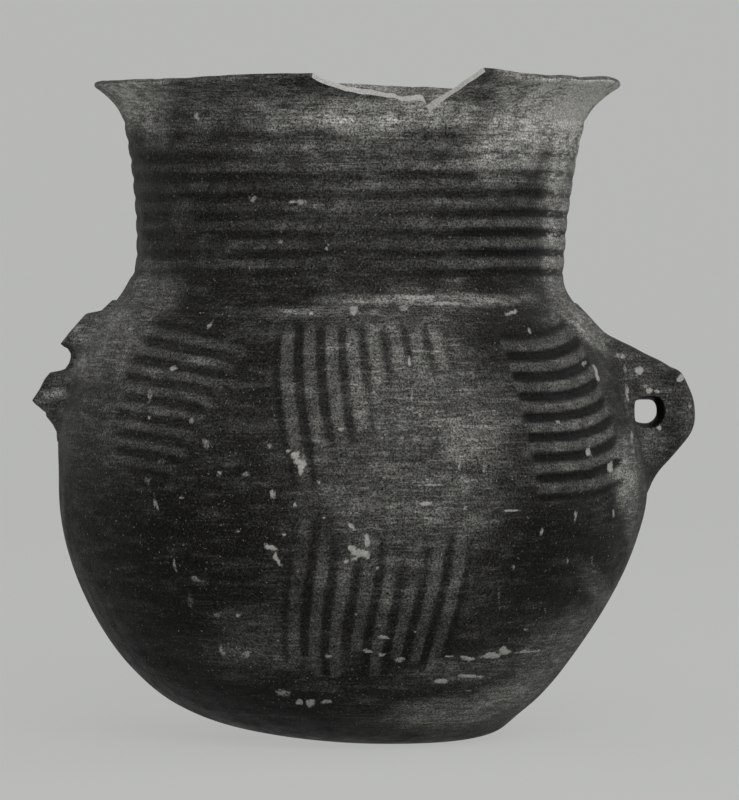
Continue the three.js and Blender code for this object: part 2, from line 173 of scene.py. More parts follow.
class JarStage(bpy.types.PropertyGroup):
    """Camera, lamps and backdrop."""
    distance: length("Camera distance", "From the middle of the jar to the camera", 1500)
    camera_height: length("Camera height", "Height of the camera", 137.5)
    aim_side: length("Aim side", "How far right of the jar's middle the camera looks", 4.4)
    aim_height: length("Aim height", "Height at which the camera looks", 95.2)
    picture_height: length("Picture height", "What the picture's height covers at the jar", 225.84)
    backdrop: colour("Backdrop", "Pale floor and backdrop", 0.56, 0.57, 0.555)
    key_power: power("Key lamp", "Soft lamp in front, above and to the right", 15)
    fill_power: power("Fill lamp", "Weak lamp at the left", 2.5)
    edge_power: power("Edge lamp", "Lamp behind the jar that lights its right edge", 4)
    sky: amount("Sky", "Strength of the even light from all sides", 0.29)


# How much of the floor the camera sees as its plain colour, and how bright the world behind it is seen
PLAIN_SHARE = 0.75
FAR_SHARE = 0.85

# The photograph: size of a pixel at the jar's axis, and the pixels of that axis and the camera's level
PHOTO_SCALE = 0.2823 * MM
PHOTO_AXIS_X = 354
PHOTO_HORIZON_Y = 250

# Plain cylinders round the jar: for lengths along the flutes, for reading noise and beside the lugs
FLUTE_RADIUS = 78 * MM
NOISE_RADIUS = 70 * MM
LUG_RADIUS = 80 * MM

# Mean depth of the dents in shares of their setting, and how far out roughness may leave the lugs' tips
MEAN_DENT = 1.4
LEFT_TIP = -90.7 * MM
RIGHT_TIP = 96.4 * MM

# Turns of the columns of every mesh that goes round the jar
TURNS = np.linspace(0, 2 * math.pi, 900, endpoint=False)


# Shapes of the wall

def profile(depth_shares, count=900):
    """Radius against height of the wall, `depth_shares` being the thicknesses taken off each station.

    A cubic curve runs from each station to the next, tangent to the lean at both; a station inside
    the wall lies square to the lean, its thickness away from the outer one.
    """
    w = bpy.context.scene.jar_wall
    # Radius, height and lean of each station, and the shares of the span that its two handles take
    places = np.array([
        (w.rest_radius, 0.0, w.rest_lean, 0, 0.45),
        (w.base_radius, BASE_JOIN, w.base_lean, 0.33, 0.22),
        (w.belly_radius, w.belly_height, 0, 0.345, 0.4),
        (w.shoulder_radius, w.shoulder_height, w.shoulder_lean, 0.32, 0.46),
        (w.waist_radius, w.waist_height, 0, 0.24, 0.3),
        (w.neck_top_radius, w.neck_top_height, w.neck_top_lean, 0.36, 0.33),
        (w.lip_radius, w.lip_height, w.lip_lean, 0.38, 0),
    ])
    across = np.hypot(1, places[:, 2])
    points = np.column_stack([places[:, 0] - depth_shares / across,
                              places[:, 1] + depth_shares * places[:, 2] / across])
    lean = np.column_stack([places[:, 2], np.ones(len(places))]) / across[:, None]
    t = np.linspace(0, 1, count)[:, None]
    runs = []
    for i in range(len(points) - 1):
        start, end = points[i], points[i + 1]
        span = np.linalg.norm(end - start)
        leave = start + lean[i] * span * places[i, 4]
        arrive = end - lean[i + 1] * span * places[i + 1, 3]
        runs.append((1 - t) ** 3 * start + 3 * t * (1 - t) ** 2 * leave + 3 * t * t * (1 - t) * arrive
                    + t ** 3 * end)
    return np.concatenate(runs)


def outer_profile():
    return profile(np.zeros(7))


def inner_profile():
    w = bpy.context.scene.jar_wall
    body, neck = w.body_thickness, w.neck_thickness
    return profile(np.array([w.floor_thickness, body, body, body, neck, neck, w.lip_thickness]))


def radius_at(curve, height):
    return np.interp(height, curve[:, 1], curve[:, 0])


def run_between(curve, low, high, step):
    """Points of the profile from one height to another, evenly spaced along it."""
    inside = curve[(curve[:, 1] > low) & (curve[:, 1] < high)]
    ends = [(radius_at(curve, low), low), (radius_at(curve, high), high)]
    path = np.concatenate([ends[:1], inside, ends[1:]])
    along = np.concatenate([[0], np.cumsum(np.linalg.norm(np.diff(path, axis=0), axis=1))])
    count = max(2, int(round(along[-1] / step)) + 1)
    marks = np.linspace(0, along[-1], count)
    return np.column_stack([np.interp(marks, along, path[:, 0]), np.interp(marks, along, path[:, 1])])


def smooth_line(points, count=60):
    """Catmull-Rom curve through the points."""
    p = np.array(points, dtype=float)
    p = np.concatenate([p[:1], p, p[-1:]])
    t = np.linspace(0, 1, count, endpoint=False)[:, None]
    runs = []
    for i in range(len(p) - 3):
        a, b, c, d = p[i:i + 4]
        runs.append(0.5 * (2 * b + (c - a) * t + (2 * a - 5 * b + 4 * c - d) * t ** 2
                           + (3 * b - a - 3 * c + d) * t ** 3))
    return np.concatenate(runs + [p[-1:]])


# How far sideways each level lies, and its height, in millimetres
SIDEWAYS = smooth_line([
    (10.2, 0), (3, 4.6), (0, 9.6), (-1.5, 18), (-2, 29.6), (-0.8, 55), (-0.3, 74), (-2.2, 93),
    (-2.7, 123.4), (-0.9, 134.5), (-0.2, 154.5), (0.2, 172.5), (1.2, 186.6),
]) * MM


def drift(height):
    """How far sideways the middle of a level lies: the jar was built by eye."""
    return np.interp(height, SIDEWAYS[:, 1], SIDEWAYS[:, 0])


def lattice(cells, seed):
    """Random numbers from -1 to 1 at whole-number places, made by mixing the bits of the place."""
    mixed = cells[..., 0] * 374761393 + cells[..., 1] * 668265263 + cells[..., 2] * 1103515245
    mixed = (mixed + seed * 1274126177) & 0xFFFFFFFF
    mixed = ((mixed ^ (mixed >> 13)) * 1274126177) & 0xFFFFFFFF
    return ((mixed ^ (mixed >> 16)) & 0xFFFF) / 32767.5 - 1


def noise(points, size, seed):
    """Smooth noise from -1 to 1 with bumps `size` across, blended from the lattice numbers around."""
    place = np.asarray(points) / size
    cell = np.floor(place).astype(np.int64)
    part = place - cell
    part = part * part * (3 - 2 * part)
    total = 0
    for corner in np.ndindex(2, 2, 2):
        weight = np.prod(np.where(corner, part, 1 - part), axis=-1)
        total = total + weight * lattice(cell + np.array(corner), seed)
    return total


def on_wall(turns, heights):
    """A plain cylinder's points, where the wall's noises are read."""
    return np.stack([NOISE_RADIUS * np.sin(turns), -NOISE_RADIUS * np.cos(turns), heights], axis=-1)


def groove(distance, width):
    """1 on the middle line of a groove and 0 from half its width away, as a cosine."""
    return 0.5 + 0.5 * np.cos(np.pi * np.clip(2 * distance / width, -1, 1))


def fade(distance, width):
    """0 before an edge and 1 from `width` behind it, with a smooth rise."""
    share = np.clip(distance / width, 0, 1)
    return share * share * (3 - 2 * share)


def within(place, low, rise, high, fall):
    """1 between two limits, with a smooth rise behind the lower and a smooth fall before the upper."""
    return fade(place - low, rise) * fade(high - place, fall)


def from_front(turns):
    """The same turns, between half a turn to the left of the front and half a turn to its right."""
    return (turns + math.pi) % (2 * math.pi) - math.pi


def ribs(turns, heights):
    """Furrow and ridge, each from 0 to 1, of the level ribs round the neck."""
    r = bpy.context.scene.jar_relief
    wander = 0.35 * MM * noise(on_wall(turns, heights), 0.03, 5)
    step = (heights + wander - r.lowest_rib) / r.rib_pitch
    inside = within(step, -0.85, 0.3, r.rib_count - 0.15, 0.3)
    from_furrow = (step - 0.5 - np.round(step - 0.5)) * r.rib_pitch
    from_ridge = (step - np.round(step)) * r.rib_pitch
    return inside * groove(from_furrow, 3.7 * MM), inside * groove(from_ridge, r.rib_pitch * 0.8)


def lines_of_flutes(across, along, start, end, pitch, count, width):
    """Furrow and ridge of a set of parallel flutes.

    `across` is the distance from the first flute's line and `along` the place on the line; `start`
    and `end` give the places between which each flute runs. The first and the last are shallower.
    """
    furrow = np.zeros_like(across)
    ridge = np.zeros_like(across)
    for i in range(count):
        ends = within(along, start(i), 3 * MM, end(i), 9 * MM)
        depth = 0.55 if i in (0, count - 1) else 1
        furrow = np.maximum(furrow, depth * ends * groove(across - i * pitch, width))
        if i + 1 < count:
            crest = np.minimum(1, 1.7 * groove(across - (i + 0.5) * pitch, pitch * 0.9))
            ridge = np.maximum(ridge, ends * crest)
    return furrow, ridge


def band(turns, heights, right):
    """Furrow and ridge of the upright band of flutes whose last ridge is at the turn `right`."""
    r = bpy.context.scene.jar_relief
    radius = radius_at(outer_profile(), heights)
    wander = 0.5 * MM * noise(on_wall(turns * 0.6, heights), 0.025, 11) / radius
    away = from_front(turns - right)
    squeeze = r.band_pitch / (r.band_pitch - r.band_waist * groove(heights - 70 * MM, 95 * MM))
    first = away * squeeze + (r.flute_count - 1.5) * r.band_pitch + wander
    uneven = 4 * MM * np.sin(2.6 * np.arange(r.flute_count))
    return lines_of_flutes(first, heights, lambda i: r.band_bottom + uneven[i], lambda i: r.band_top,
                           r.band_pitch, r.flute_count, r.flute_width / FLUTE_RADIUS)


# The panels beside the whole and the broken lug, in millimetres and degrees: top line, pitch, inner end
# of the top and of the bottom line, outer end, rise towards the lug and its power. With a power above 1
# the lines climb most beside the lug, and below 1 most at their inner ends
PANELS = [
    (113.9, 5.45, 35.5, 36, 68, 5.6, 3),
    (112, 4.95, 20, 35, 54, 6.6, 0.75),
]


def panel(turns, heights, numbers, away):
    """Furrow and ridge of a panel of level flutes; `away` is the turn from the front or the back."""
    r = bpy.context.scene.jar_relief
    top, pitch, inner_top, inner_bottom, outer, rise, power = numbers
    wander = 0.45 * MM * noise(on_wall(turns, heights), 0.02, 17)
    inner = np.radians([inner_top, inner_bottom])
    outer = math.radians(outer)
    climb = np.clip((away - inner[0]) / (outer - inner[0]), 0, 1) ** power
    across = top * MM + rise * MM * climb - heights + wander
    last = r.flute_count - 1
    return lines_of_flutes(across, away * FLUTE_RADIUS,
                           lambda i: (inner[0] + (inner[1] - inner[0]) * i / last) * FLUTE_RADIUS,
                           lambda i: outer * FLUTE_RADIUS, pitch * MM, r.flute_count, r.flute_width)


def relief(turns, heights):
    """Furrow and ridge of all the grooves of the outer wall."""
    right = bpy.context.scene.jar_relief.band_right
    found = [ribs(turns, heights), band(turns, heights, right), band(turns, heights, right + math.pi)]
    for side, numbers in zip((1, -1), PANELS):
        away = side * from_front(turns)
        found.append(panel(turns, heights, numbers, away))
        found.append(panel(turns, heights, numbers, math.pi - away))
    furrow = np.max([one[0] for one in found], axis=0)
    ridge = np.max([one[1] for one in found], axis=0)
    return furrow, ridge * (1 - furrow)


# How far the rim is lifted: turn in degrees from the front and lift in millimetres, from back to back
RIM_LIFT = smooth_line([
    (-180, 0.5), (-165, 0.4), (-135, -0.6), (-90, -1.2), (-60, -1.9), (-40, -2.1), (-28, -1.4), (-10, -1.1),
    (12, 0), (28, 0.5), (33, 0), (38, -0.7), (46, -1), (50, -0.9), (57, -1.2), (64, -0.8), (70, -0.5),
    (76, -0.7), (90, -1.2), (120, -1.2), (150, -1.6), (165, -0.6), (180, 0.5),
]) * np.array([math.pi / 180, MM])


def top_groove():
    """Height of the groove above the highest rib, where the neck and the rim meet."""
    r = bpy.context.scene.jar_relief
    return r.lowest_rib + (r.rib_count - 0.5) * r.rib_pitch


def raised(turns, heights):
    """How far each level is lifted: the ribs dip round the neck and the rim rises and falls."""
    w = bpy.context.scene.jar_wall
    neck = np.clip((heights - NECK_JOIN) / (top_groove() - NECK_JOIN), 0, 1)
    rim = np.clip((heights - top_groove()) / (w.lip_height - top_groove()), 0, 1)
    lift = np.interp(from_front(turns), RIM_LIFT[:, 0], RIM_LIFT[:, 1])
    lift = w.rim_wave * rim ** 2 * (lift + 0.2 * MM * noise(on_wall(turns, 0 * turns), 0.005, 71))
    return lift - w.neck_wave * np.sin(np.pi * neck) * np.cos(2 * turns + 1.4)


def placed(turns, radii, heights):
    """Points of the jar from turn, radius and level, with the unevenness of a hand-built pot."""
    return np.stack([radii * np.sin(turns) + drift(heights), -radii * np.cos(turns),
                     heights + raised(turns, heights)], axis=-1)


def beside_lugs(turns, heights):
    """1 where a lug runs out on the wall, and 0 from 22 mm to the side of it."""
    sideways = np.abs(np.cos(turns)) * LUG_RADIUS
    return fade(22 * MM - sideways, 8 * MM) * within(heights, 58 * MM, 8 * MM, 132 * MM, 8 * MM)


def clearness(turns, heights):
    """How clearly the painted shade in the furrows and the rubbed ridges, lighter still as painted
    highlight, mark the grooves.

    On the neck they are clearest at the right, where the light falls, fainter at the left and faintest
    in front, and come and go. On the body they are fainter on the upright bands and at the left.
    """
    side = np.sin(turns)
    neck = 0.3 + 0.45 * np.abs(side) + 0.2 * np.maximum(side, 0)
    neck *= 0.85 + 0.6 * noise(on_wall(turns, heights), 0.02, 29)
    neck *= 1 - 0.6 * fade(heights - 163 * MM, 7 * MM)
    body = 1 - 0.38 * fade(-side - 0.2, 0.4) - 0.3 * fade(0.5 - np.abs(side), 0.1)
    return np.where(heights > NECK_JOIN, np.clip(neck, 0.1, 1), body)


def outer_rows(low, high, step=0.66 * MM):
    """Rows of the outer wall between two levels, and the marks that its finish follows.

    The furrows are cut, the dents are pressed in and the crust is raised, all along the radius.
    """
    w = bpy.context.scene.jar_wall
    r = bpy.context.scene.jar_relief
    line = run_between(outer_profile(), low, high, step)
    turns, heights = np.meshgrid(TURNS, line[:, 1])
    bare = placed(turns, line[:, :1], heights)
    left = 1 - spots_of(bare, RUBBED_OUT, 1.2)
    furrow, ridge = (left * one for one in relief(turns, heights))
    spots = on_wall(turns, heights)
    strength = 0.85 + 0.3 * noise(spots, 0.02, 23)
    depth = np.where(heights > NECK_JOIN, r.rib_depth, r.flute_depth)
    held = within(heights, 12 * MM, 20 * MM, 182 * MM, 8 * MM)
    dents = (noise(spots, 0.022, 31) + 0.5 * noise(spots, 0.009, 37)) * (1 - beside_lugs(turns, heights))
    pressed = (dents + MEAN_DENT) * w.dent * held
    flecks = crust(bare)
    radii = line[:, :1] - depth * strength * furrow - pressed + flecks * 0.12 * MM * held
    clear = clearness(turns, heights)
    # furrow is painted shade in the grooves, ridge is rubbing with painted highlight where it shows most on
    # the right; the lighter patches hold rubbing and painted highlight, the darker ones painted shade
    marks = {
        "furrow": clear * fade(furrow - 0.08, 0.55),
        "ridge": clear * fade(ridge - 0.2, 0.5),
        "crust": flecks,
        "wear_and_painted_light": wear_and_painted_light_patches(bare),
        "shade_and_dark_patches": spots_of(bare, SHADE_AND_DARK_PATCHES, 1.6),
    }
    return placed(turns, radii, heights), marks


def with_inside(marks, rows, missing):
    """Marks of the outer rows, and of the `missing` inner ones that follow them.

    The inside is only made lighter, by rubbing and by painted light, and most of all towards the mouth.
    """
    blank = np.zeros((missing, rows.shape[1]))
    values = {title: np.concatenate([mark, blank]) for title, mark in marks.items()}
    level = rows[-missing:, :, 2]
    # Painted light: the inside gets lighter towards the mouth, where light reaches into the jar
    rubbed = 0.3 + 0.55 * fade(level - 145 * MM, 30 * MM) + 0.5 * fade(level - 174 * MM, 8 * MM)
    values["wear_and_painted_light"][-missing:] = rubbed * (0.85 + 0.4 * noise(rows[-missing:], 0.02, 83))
    return {**values, "broken": np.zeros(rows.shape[:2])}


def inner_rows(low, high, step=3 * MM):
    """Rows of the inner wall between two levels, upwards, with soft dents."""
    line = run_between(inner_profile(), low, high, step)
    turns, heights = np.meshgrid(TURNS, line[:, 1])
    spots = on_wall(turns, heights)
    radii = line[:, :1] - 0.35 * MM * noise(spots, 0.018, 41) * fade(heights - 12 * MM, 10 * MM)
    return placed(turns, radii, heights)


def in_picture(points):
    """Pixel at which the photograph shows each point, from the distance and height of the camera."""
    s = bpy.context.scene.jar_stage
    scale = s.distance / (s.distance + points[..., 1]) / PHOTO_SCALE
    across = PHOTO_AXIS_X + s.aim_side / PHOTO_SCALE + (points[..., 0] - s.aim_side) * scale
    down = PHOTO_HORIZON_Y - (points[..., 2] - s.camera_height) * scale
    return across, down


def spots_of(points, spots, soft):
    """Strength at each point of a list of ovals in the picture: middle, half sizes, tilt and strength.

    An oval fades out over `soft` half sizes. Ovals run out unevenly round the sides, where the
    photograph no longer shows them: hard ones up to 1 soon, soft ones above 1 slowly.
    """
    across, down = in_picture(points)
    ragged = noise(points, 0.02, 97)
    if soft <= 1:
        front = fade(14 * MM + 8 * MM * ragged - points[..., 1], 16 * MM)
        uneven = 1 + 0.4 * noise(points, 0.0012, 73) + 0.25 * noise(points, 0.003, 79)
    else:
        front = fade(30 * MM + 16 * MM * ragged - points[..., 1], 60 * MM) ** 2
        uneven = 1 + 0.25 * noise(points, 0.007, 79)
    total = np.zeros(points.shape[:-1])
    for x, y, half_long, half_wide, tilt, strength in spots:
        lean = math.radians(tilt)
        right, up = across - x, y - down
        u = (right * math.cos(lean) + up * math.sin(lean)) / half_long
        v = (up * math.cos(lean) - right * math.sin(lean)) / half_wide
        total = np.maximum(total, front * strength * fade(1 + soft / 2 - np.hypot(u, v) * uneven, soft))
    return total


# Flecks of lime crust: middle and half sizes in pixels of the photograph, tilt, strength
FLECKS = [
    # On the band and beside it
    (295, 455, 6, 4, 20, 1), (302, 466, 4, 7, -15, 1), (319, 482, 3, 2, 0, 0.8), (340, 474, 3, 2, 0, 0.7),
    (269, 446, 3.5, 3, 0, 0.7), (245, 474, 5, 4, 0, 0.7), (218, 472, 4, 3, 0, 0.6),
    (205, 443, 4, 7, 0, 0.6), (272, 493, 4, 5, 30, 0.8), (295, 505, 3, 3, 0, 0.9), (324, 518, 2.5, 2, 0, 1),
    (307, 511, 1.8, 1.5, 0, 0.8), (238, 532, 2.5, 2, 0, 1), (284, 535, 2.5, 2, 0, 1),
    (269, 547, 4.5, 3, -15, 1), (278, 561, 2, 6.5, 30, 1), (352, 527, 2.5, 7.5, 45, 1),
    (360, 553, 10, 5, 10, 1), (367, 542, 3, 7, 0, 1), (347, 562, 2, 2, 0, 1), (353, 549, 5, 3, -30, 1),
    (367, 556, 5, 3, -40, 1), (355, 559, 6, 3, 30, 0.9), (297, 461, 4, 4, 0, 0.9), (300, 473, 3, 4, 0, 0.8),
    (288, 451, 3, 3, 0, 0.8), (378, 569, 2.3, 2, 0, 1), (342, 429, 5.5, 2, 0, 0.9),
    (290, 383, 8, 2, 0, 0.6), (311, 313, 3, 2.5, 0, 1), (354, 309, 6, 5, -30, 0.8),
    (373, 392, 2.3, 2, 0, 0.9), (403, 439, 3, 2.5, 0, 0.7), (421, 415, 2, 1.8, 0, 0.8),
    (410, 360, 1.6, 8, 5, 0.9), (412, 397, 1.4, 11, -6, 0.8), (433, 352, 9, 3, 0, 0.6),
    (473, 372, 4, 4, 0, 0.6), (477, 440, 3, 3, 0, 0.7), (441, 438, 2.5, 2, 0, 0.7),
    (460, 466, 2, 5.5, 0, 0.8), (486, 466, 3, 9, 0, 0.6), (434, 485, 9.5, 2.2, 0, 0.9),
    (426, 504, 7, 2.4, 8, 0.9), (467, 509, 2.6, 2.4, 0, 0.8), (513, 511, 9, 2, 0, 1),
    (356, 615, 2.6, 2.4, 0, 0.9), (385, 638, 9, 2.6, -8, 0.9), (367, 652, 7, 2, -12, 0.8),
    (382, 655, 5, 3, 0, 0.8), (400, 660, 6, 3, 0, 0.8), (329, 657, 4.5, 1.8, 0, 0.9),
    (416, 632, 2, 2, 0, 0.8), (288, 311, 13, 1.6, 0, 0.7), (419, 297, 22, 2.6, 0, 0.8),
    (404, 307, 6, 4.5, 0, 0.7), (450, 303, 22, 1.5, 0, 0.8), (511, 313, 7, 2.4, 15, 0.9),
    # Low on the belly
    (451, 657, 4.5, 1.8, 0, 1), (467, 659, 8, 2.4, -8, 1), (491, 656, 11, 3, 5, 1),
    (505, 651, 5, 4.5, 0, 1), (528, 652, 18, 1.6, 3, 0.9), (473, 677, 16, 2.2, -4, 1),
    (441, 682, 7, 3, 0, 1), (458, 692, 20, 1.3, 3, 0.6), (520, 670, 16, 1.3, 5, 0.6),
    (216, 616, 7, 4, 0, 0.55), (237, 616, 2.4, 2, 0, 0.8), (277, 641, 2.4, 2, 0, 0.8),
    (233, 653, 17, 8, 0, 0.5), (221, 652, 4, 7, 20, 0.75), (245, 655, 6, 4, 30, 0.7),
    (282, 693, 10, 3.6, -15, 0.7), (299, 703, 4.5, 3, 0, 1), (310, 703, 5, 3.4, 0, 1),
    (327, 702, 5.5, 2.4, 0, 0.9), (174, 565, 2, 8, 10, 0.7), (195, 579, 5, 3, -30, 0.7),
    (190, 600, 4, 12, 10, 0.5), (219, 504, 2.4, 2, 0, 0.8), (181, 498, 2.2, 2, 0, 0.8),
    (514, 568, 2.4, 2, 0, 0.7), (543, 532, 2.6, 5, -10, 0.9), (577, 517, 1.8, 5, 0, 0.8),
    (615, 515, 1.5, 7, -5, 0.8), (527, 630, 3, 2, 0, 0.8), (581, 591, 3, 2, 0, 0.7),
    (569, 560, 1.4, 4, 0, 0.8), (515, 567, 1.4, 3.4, 0, 0.7), (500, 598, 1.2, 15, 5, 0.6),
    (547, 611, 1.3, 3.2, 0, 0.7), (594, 560, 1.4, 4.4, 0, 0.7), (486, 524, 2, 3, 0, 0.8),
    # On the left panel
    (172, 368, 5, 2.4, 0, 0.9), (148, 395, 3.4, 7.5, -10, 0.65), (208, 326, 2.4, 6, -40, 0.7),
    (154, 377, 5, 2, 0, 0.6), (190, 420, 3, 5, -15, 0.7), (206, 446, 3.6, 6, 0, 0.7),
    (147, 417, 2, 2.4, 0, 0.8), (160, 460, 6, 5, -20, 0.5), (147, 481, 3.4, 8, 0, 0.5),
    (156, 506, 2.4, 7, 25, 0.8), (219, 473, 3.6, 3.6, 0, 0.7),
    # On the right panel and the whole lug
    (590, 452, 3, 5, 0, 1), (613, 466, 3, 6.5, -10, 1), (559, 421, 3, 2.6, 0, 0.8),
    (592, 422, 3, 2.6, 0, 0.8), (598, 374, 1.8, 10, 22, 1), (587, 363, 2.4, 3, 0, 0.8),
    (531, 331, 2, 4, 30, 0.8), (621, 356, 7, 3, -10, 0.8), (625, 368, 1.6, 6, 0, 0.8),
    (640, 370, 5, 4, 30, 1), (649, 390, 4, 3, 0, 1), (657, 391, 3.4, 2.6, -20, 1), (645, 386, 4, 2, 0, 0.7),
    (681, 378, 4, 3.6, 40, 1), (660, 428, 2.4, 3, 0, 1), (627, 393, 1.8, 11, 4, 0.8),
    (633, 436, 1.6, 6, 0, 0.8), (634, 452, 2, 3, 0, 0.8), (629, 480, 1.2, 12, -22, 0.6),
    (622, 492, 1.2, 9, -35, 0.6), (607, 503, 1.1, 12, -48, 0.5), (604, 343, 1.5, 7, 25, 0.7),
    (690, 405, 1.8, 3, 0, 0.7),
    # On the neck
    (197, 116, 2.4, 4.5, 0, 0.9), (252, 198, 5, 3, 0, 0.7), (300, 202, 7, 3, 0, 0.7),
    (291, 202, 3, 1.8, 0, 0.9), (370, 122, 3.6, 1.8, 0, 0.8), (401, 166, 4, 2.4, 0, 0.7),
    (438, 167, 5, 2.4, 20, 0.7), (327, 248, 2.6, 2.4, 0, 0.8), (280, 243, 4, 4, 0, 0.6),
    (283, 110, 8, 1.6, 0, 0.7), (296, 112, 6, 1.6, 0, 0.7), (147, 157, 2, 2, 0, 0.7),
]

# Where the surface is lighter, in the same units: rubbed patches, painted highlights on the flare of the
# rim, the right edge of the neck and shoulder, beside the lugs and in the middle of the belly, and painted
# light on the lower right
WEAR_AND_PAINTED_LIGHT = [
    (395, 114, 95, 18, 2, 1.5), (300, 112, 70, 22, 0, 0.7), (215, 100, 70, 28, 0, 0.4),
    (520, 120, 55, 30, 0, 0.4), (370, 150, 130, 24, 0, 0.3), (598, 97, 58, 38, 30, 4.6),
    (565, 98, 84, 40, 30, 2.3), (570, 150, 22, 58, 0, 2.1), (118, 92, 52, 30, -20, 1.7),
    (564, 230, 17, 70, 0, 1.8), (400, 190, 90, 60, 0, 0.14), (430, 300, 90, 6, 0, 0.9),
    (330, 312, 70, 6, 0, 0.35), (405, 385, 70, 80, 0, 0.45), (475, 430, 45, 55, 0, 0.45),
    (415, 500, 85, 55, 0, 0.42), (464, 442, 14, 24, 0, 0.8), (350, 440, 60, 60, 0, 0.2),
    (390, 580, 80, 45, 0, 0.22), (100, 335, 55, 38, 45, 0.6), (575, 300, 35, 30, 0, 0.3),
    (560, 650, 50, 22, 40, 0.6), (470, 672, 70, 12, 5, 0.25), (510, 705, 50, 14, 35, 0.5),
    (245, 645, 50, 28, 15, 0.3), (105, 400, 50, 80, 0, 0.2), (150, 290, 30, 22, -50, 0.5),
    (65, 420, 12, 45, 0, 0.25), (330, 395, 40, 60, 0, 0.16), (300, 640, 60, 25, 0, 0.15),
    (78, 364, 5, 12, -10, 1.6), (55, 394, 12, 5, 0, 2.2), (592, 318, 30, 15, -50, 2),
    (628, 480, 12, 40, 5, 1), (568, 420, 50, 78, 0, 0.16), (170, 390, 50, 60, -20, 0.12),
    (655, 392, 34, 44, 0, 0.25), (646, 444, 22, 22, 30, 0.5), (634, 352, 28, 14, -30, 0.5),
    (638, 540, 8, 60, 14, 0.6), (612, 606, 10, 50, 35, 0.5), (505, 698, 60, 15, 30, 0.9),
    (440, 714, 50, 13, 4, 0.7),
]

# Where the clay is darker: painted shade at the bottom, low on the left and under the belly, and darker
# patches of clay elsewhere
SHADE_AND_DARK_PATCHES = [
    (160, 560, 120, 120, 0, 0.8), (555, 550, 60, 75, 0, 0.8), (175, 190, 60, 90, 0, 0.25),
    (520, 390, 25, 110, 0, 0.45), (215, 300, 60, 30, 0, 0.4), (500, 340, 40, 25, 0, 0.5),
    (175, 650, 75, 60, -40, 1), (350, 620, 100, 45, 0, 0.45), (240, 700, 110, 34, -22, 1),
    (300, 600, 34, 50, 0, 0.6),
]

# Where the flutes of the front are rubbed away
RUBBED_OUT = [(420, 464, 64, 106, 0, 1), (352, 502, 52, 64, 0, 0.85), (300, 510, 30, 42, 0, 0.5)]


def crust(points):
    """How much lime crust lies at each point: the flecks of the front, and scattered ones all round."""
    patchy = fade(noise(points, 0.03, 63) - 0.1, 0.5)
    scattered = fade(noise(points, 0.0024, 61) - 0.64, 0.2) * (0.3 + 0.7 * patchy)
    away = 0.35 + 0.65 * fade(points[..., 1] + 10 * MM, 20 * MM)
    return np.maximum(spots_of(points, FLECKS, 1), scattered * away)


def wear_and_painted_light_patches(points):
    """Where the surface is lighter: the patches of the front, rubbed and painted highlight, and cloudy
    rubbed ones at the back.
    """
    back = fade(points[..., 1], 20 * MM) * 0.9 * fade(noise(points, 0.035, 67) + 0.1, 0.6)
    return np.maximum(spots_of(points, WEAR_AND_PAINTED_LIGHT, 1.4), back)


# Meshes

def ring_mesh(name, rows, marks, closed=True):
    """Mesh of rows of points that go round a piece; the last row meets the first.

    Without `closed` the first and the last row are closed by a pole in their middle instead. `marks`
    holds values for all points under each mark's name.
    """
    count, around = rows.shape[:2]
    points = rows.reshape(-1, 3)
    index = np.arange(count * around).reshape(count, around)
    turned = np.roll(index, -1, axis=1)
    if closed:
        low, high = index, np.roll(index, -1, axis=0)
        low_turned, high_turned = turned, np.roll(turned, -1, axis=0)
    else:
        low, high, low_turned, high_turned = index[:-1], index[1:], turned[:-1], turned[1:]
    faces = np.stack([low, low_turned, high_turned, high], axis=-1).reshape(-1, 4).tolist()
    if not closed:
        poles = [rows[0].mean(axis=0), rows[-1].mean(axis=0)]
        first, last = len(points), len(points) + 1
        points = np.concatenate([points, poles])
        faces += np.stack([np.full(around, first), turned[0], index[0]], axis=-1).tolist()
        faces += np.stack([index[-1], turned[-1], np.full(around, last)], axis=-1).tolist()
    mesh = bpy.data.meshes.new(name)
    mesh.from_pydata(points.tolist(), [], faces)
    mesh.update()
    for mark, values in marks.items():
        layer = mesh.attributes.new(mark, "FLOAT", "POINT")
        flat = np.zeros(len(points), dtype=np.float32)
        flat[:count * around] = np.ravel(values)
        layer.data.foreach_set("value", flat)
    mesh.polygons.foreach_set("use_smooth", np.ones(len(mesh.polygons), dtype=bool))
    mesh.set_sharp_from_angle(angle=math.radians(50))
    return mesh


def finish_piece(node, rows, marks, slot, closed=True):
    """Make the piece that stands for a node of the frame, from its rows of points and their marks."""
    mesh = ring_mesh("jar_" + node, rows, marks, closed)
    piece = bpy.data.objects.new("jar_" + node, mesh)
    bpy.context.scene.collection.objects.link(piece)
    mesh.materials.append(clay_material(slot))
    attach(piece, "root")
    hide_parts(node)


def wall_piece(node, low, high):
    """A stage of the wall: up the outside from one join to the next, and back down the inside."""
    outer, marks = outer_rows(low, high)
    inner = inner_rows(low, high)[::-1]
    rows = np.concatenate([outer, inner])
    finish_piece(node, rows, with_inside(marks, rows, len(inner)), "dark_body")


# Finish of the clay

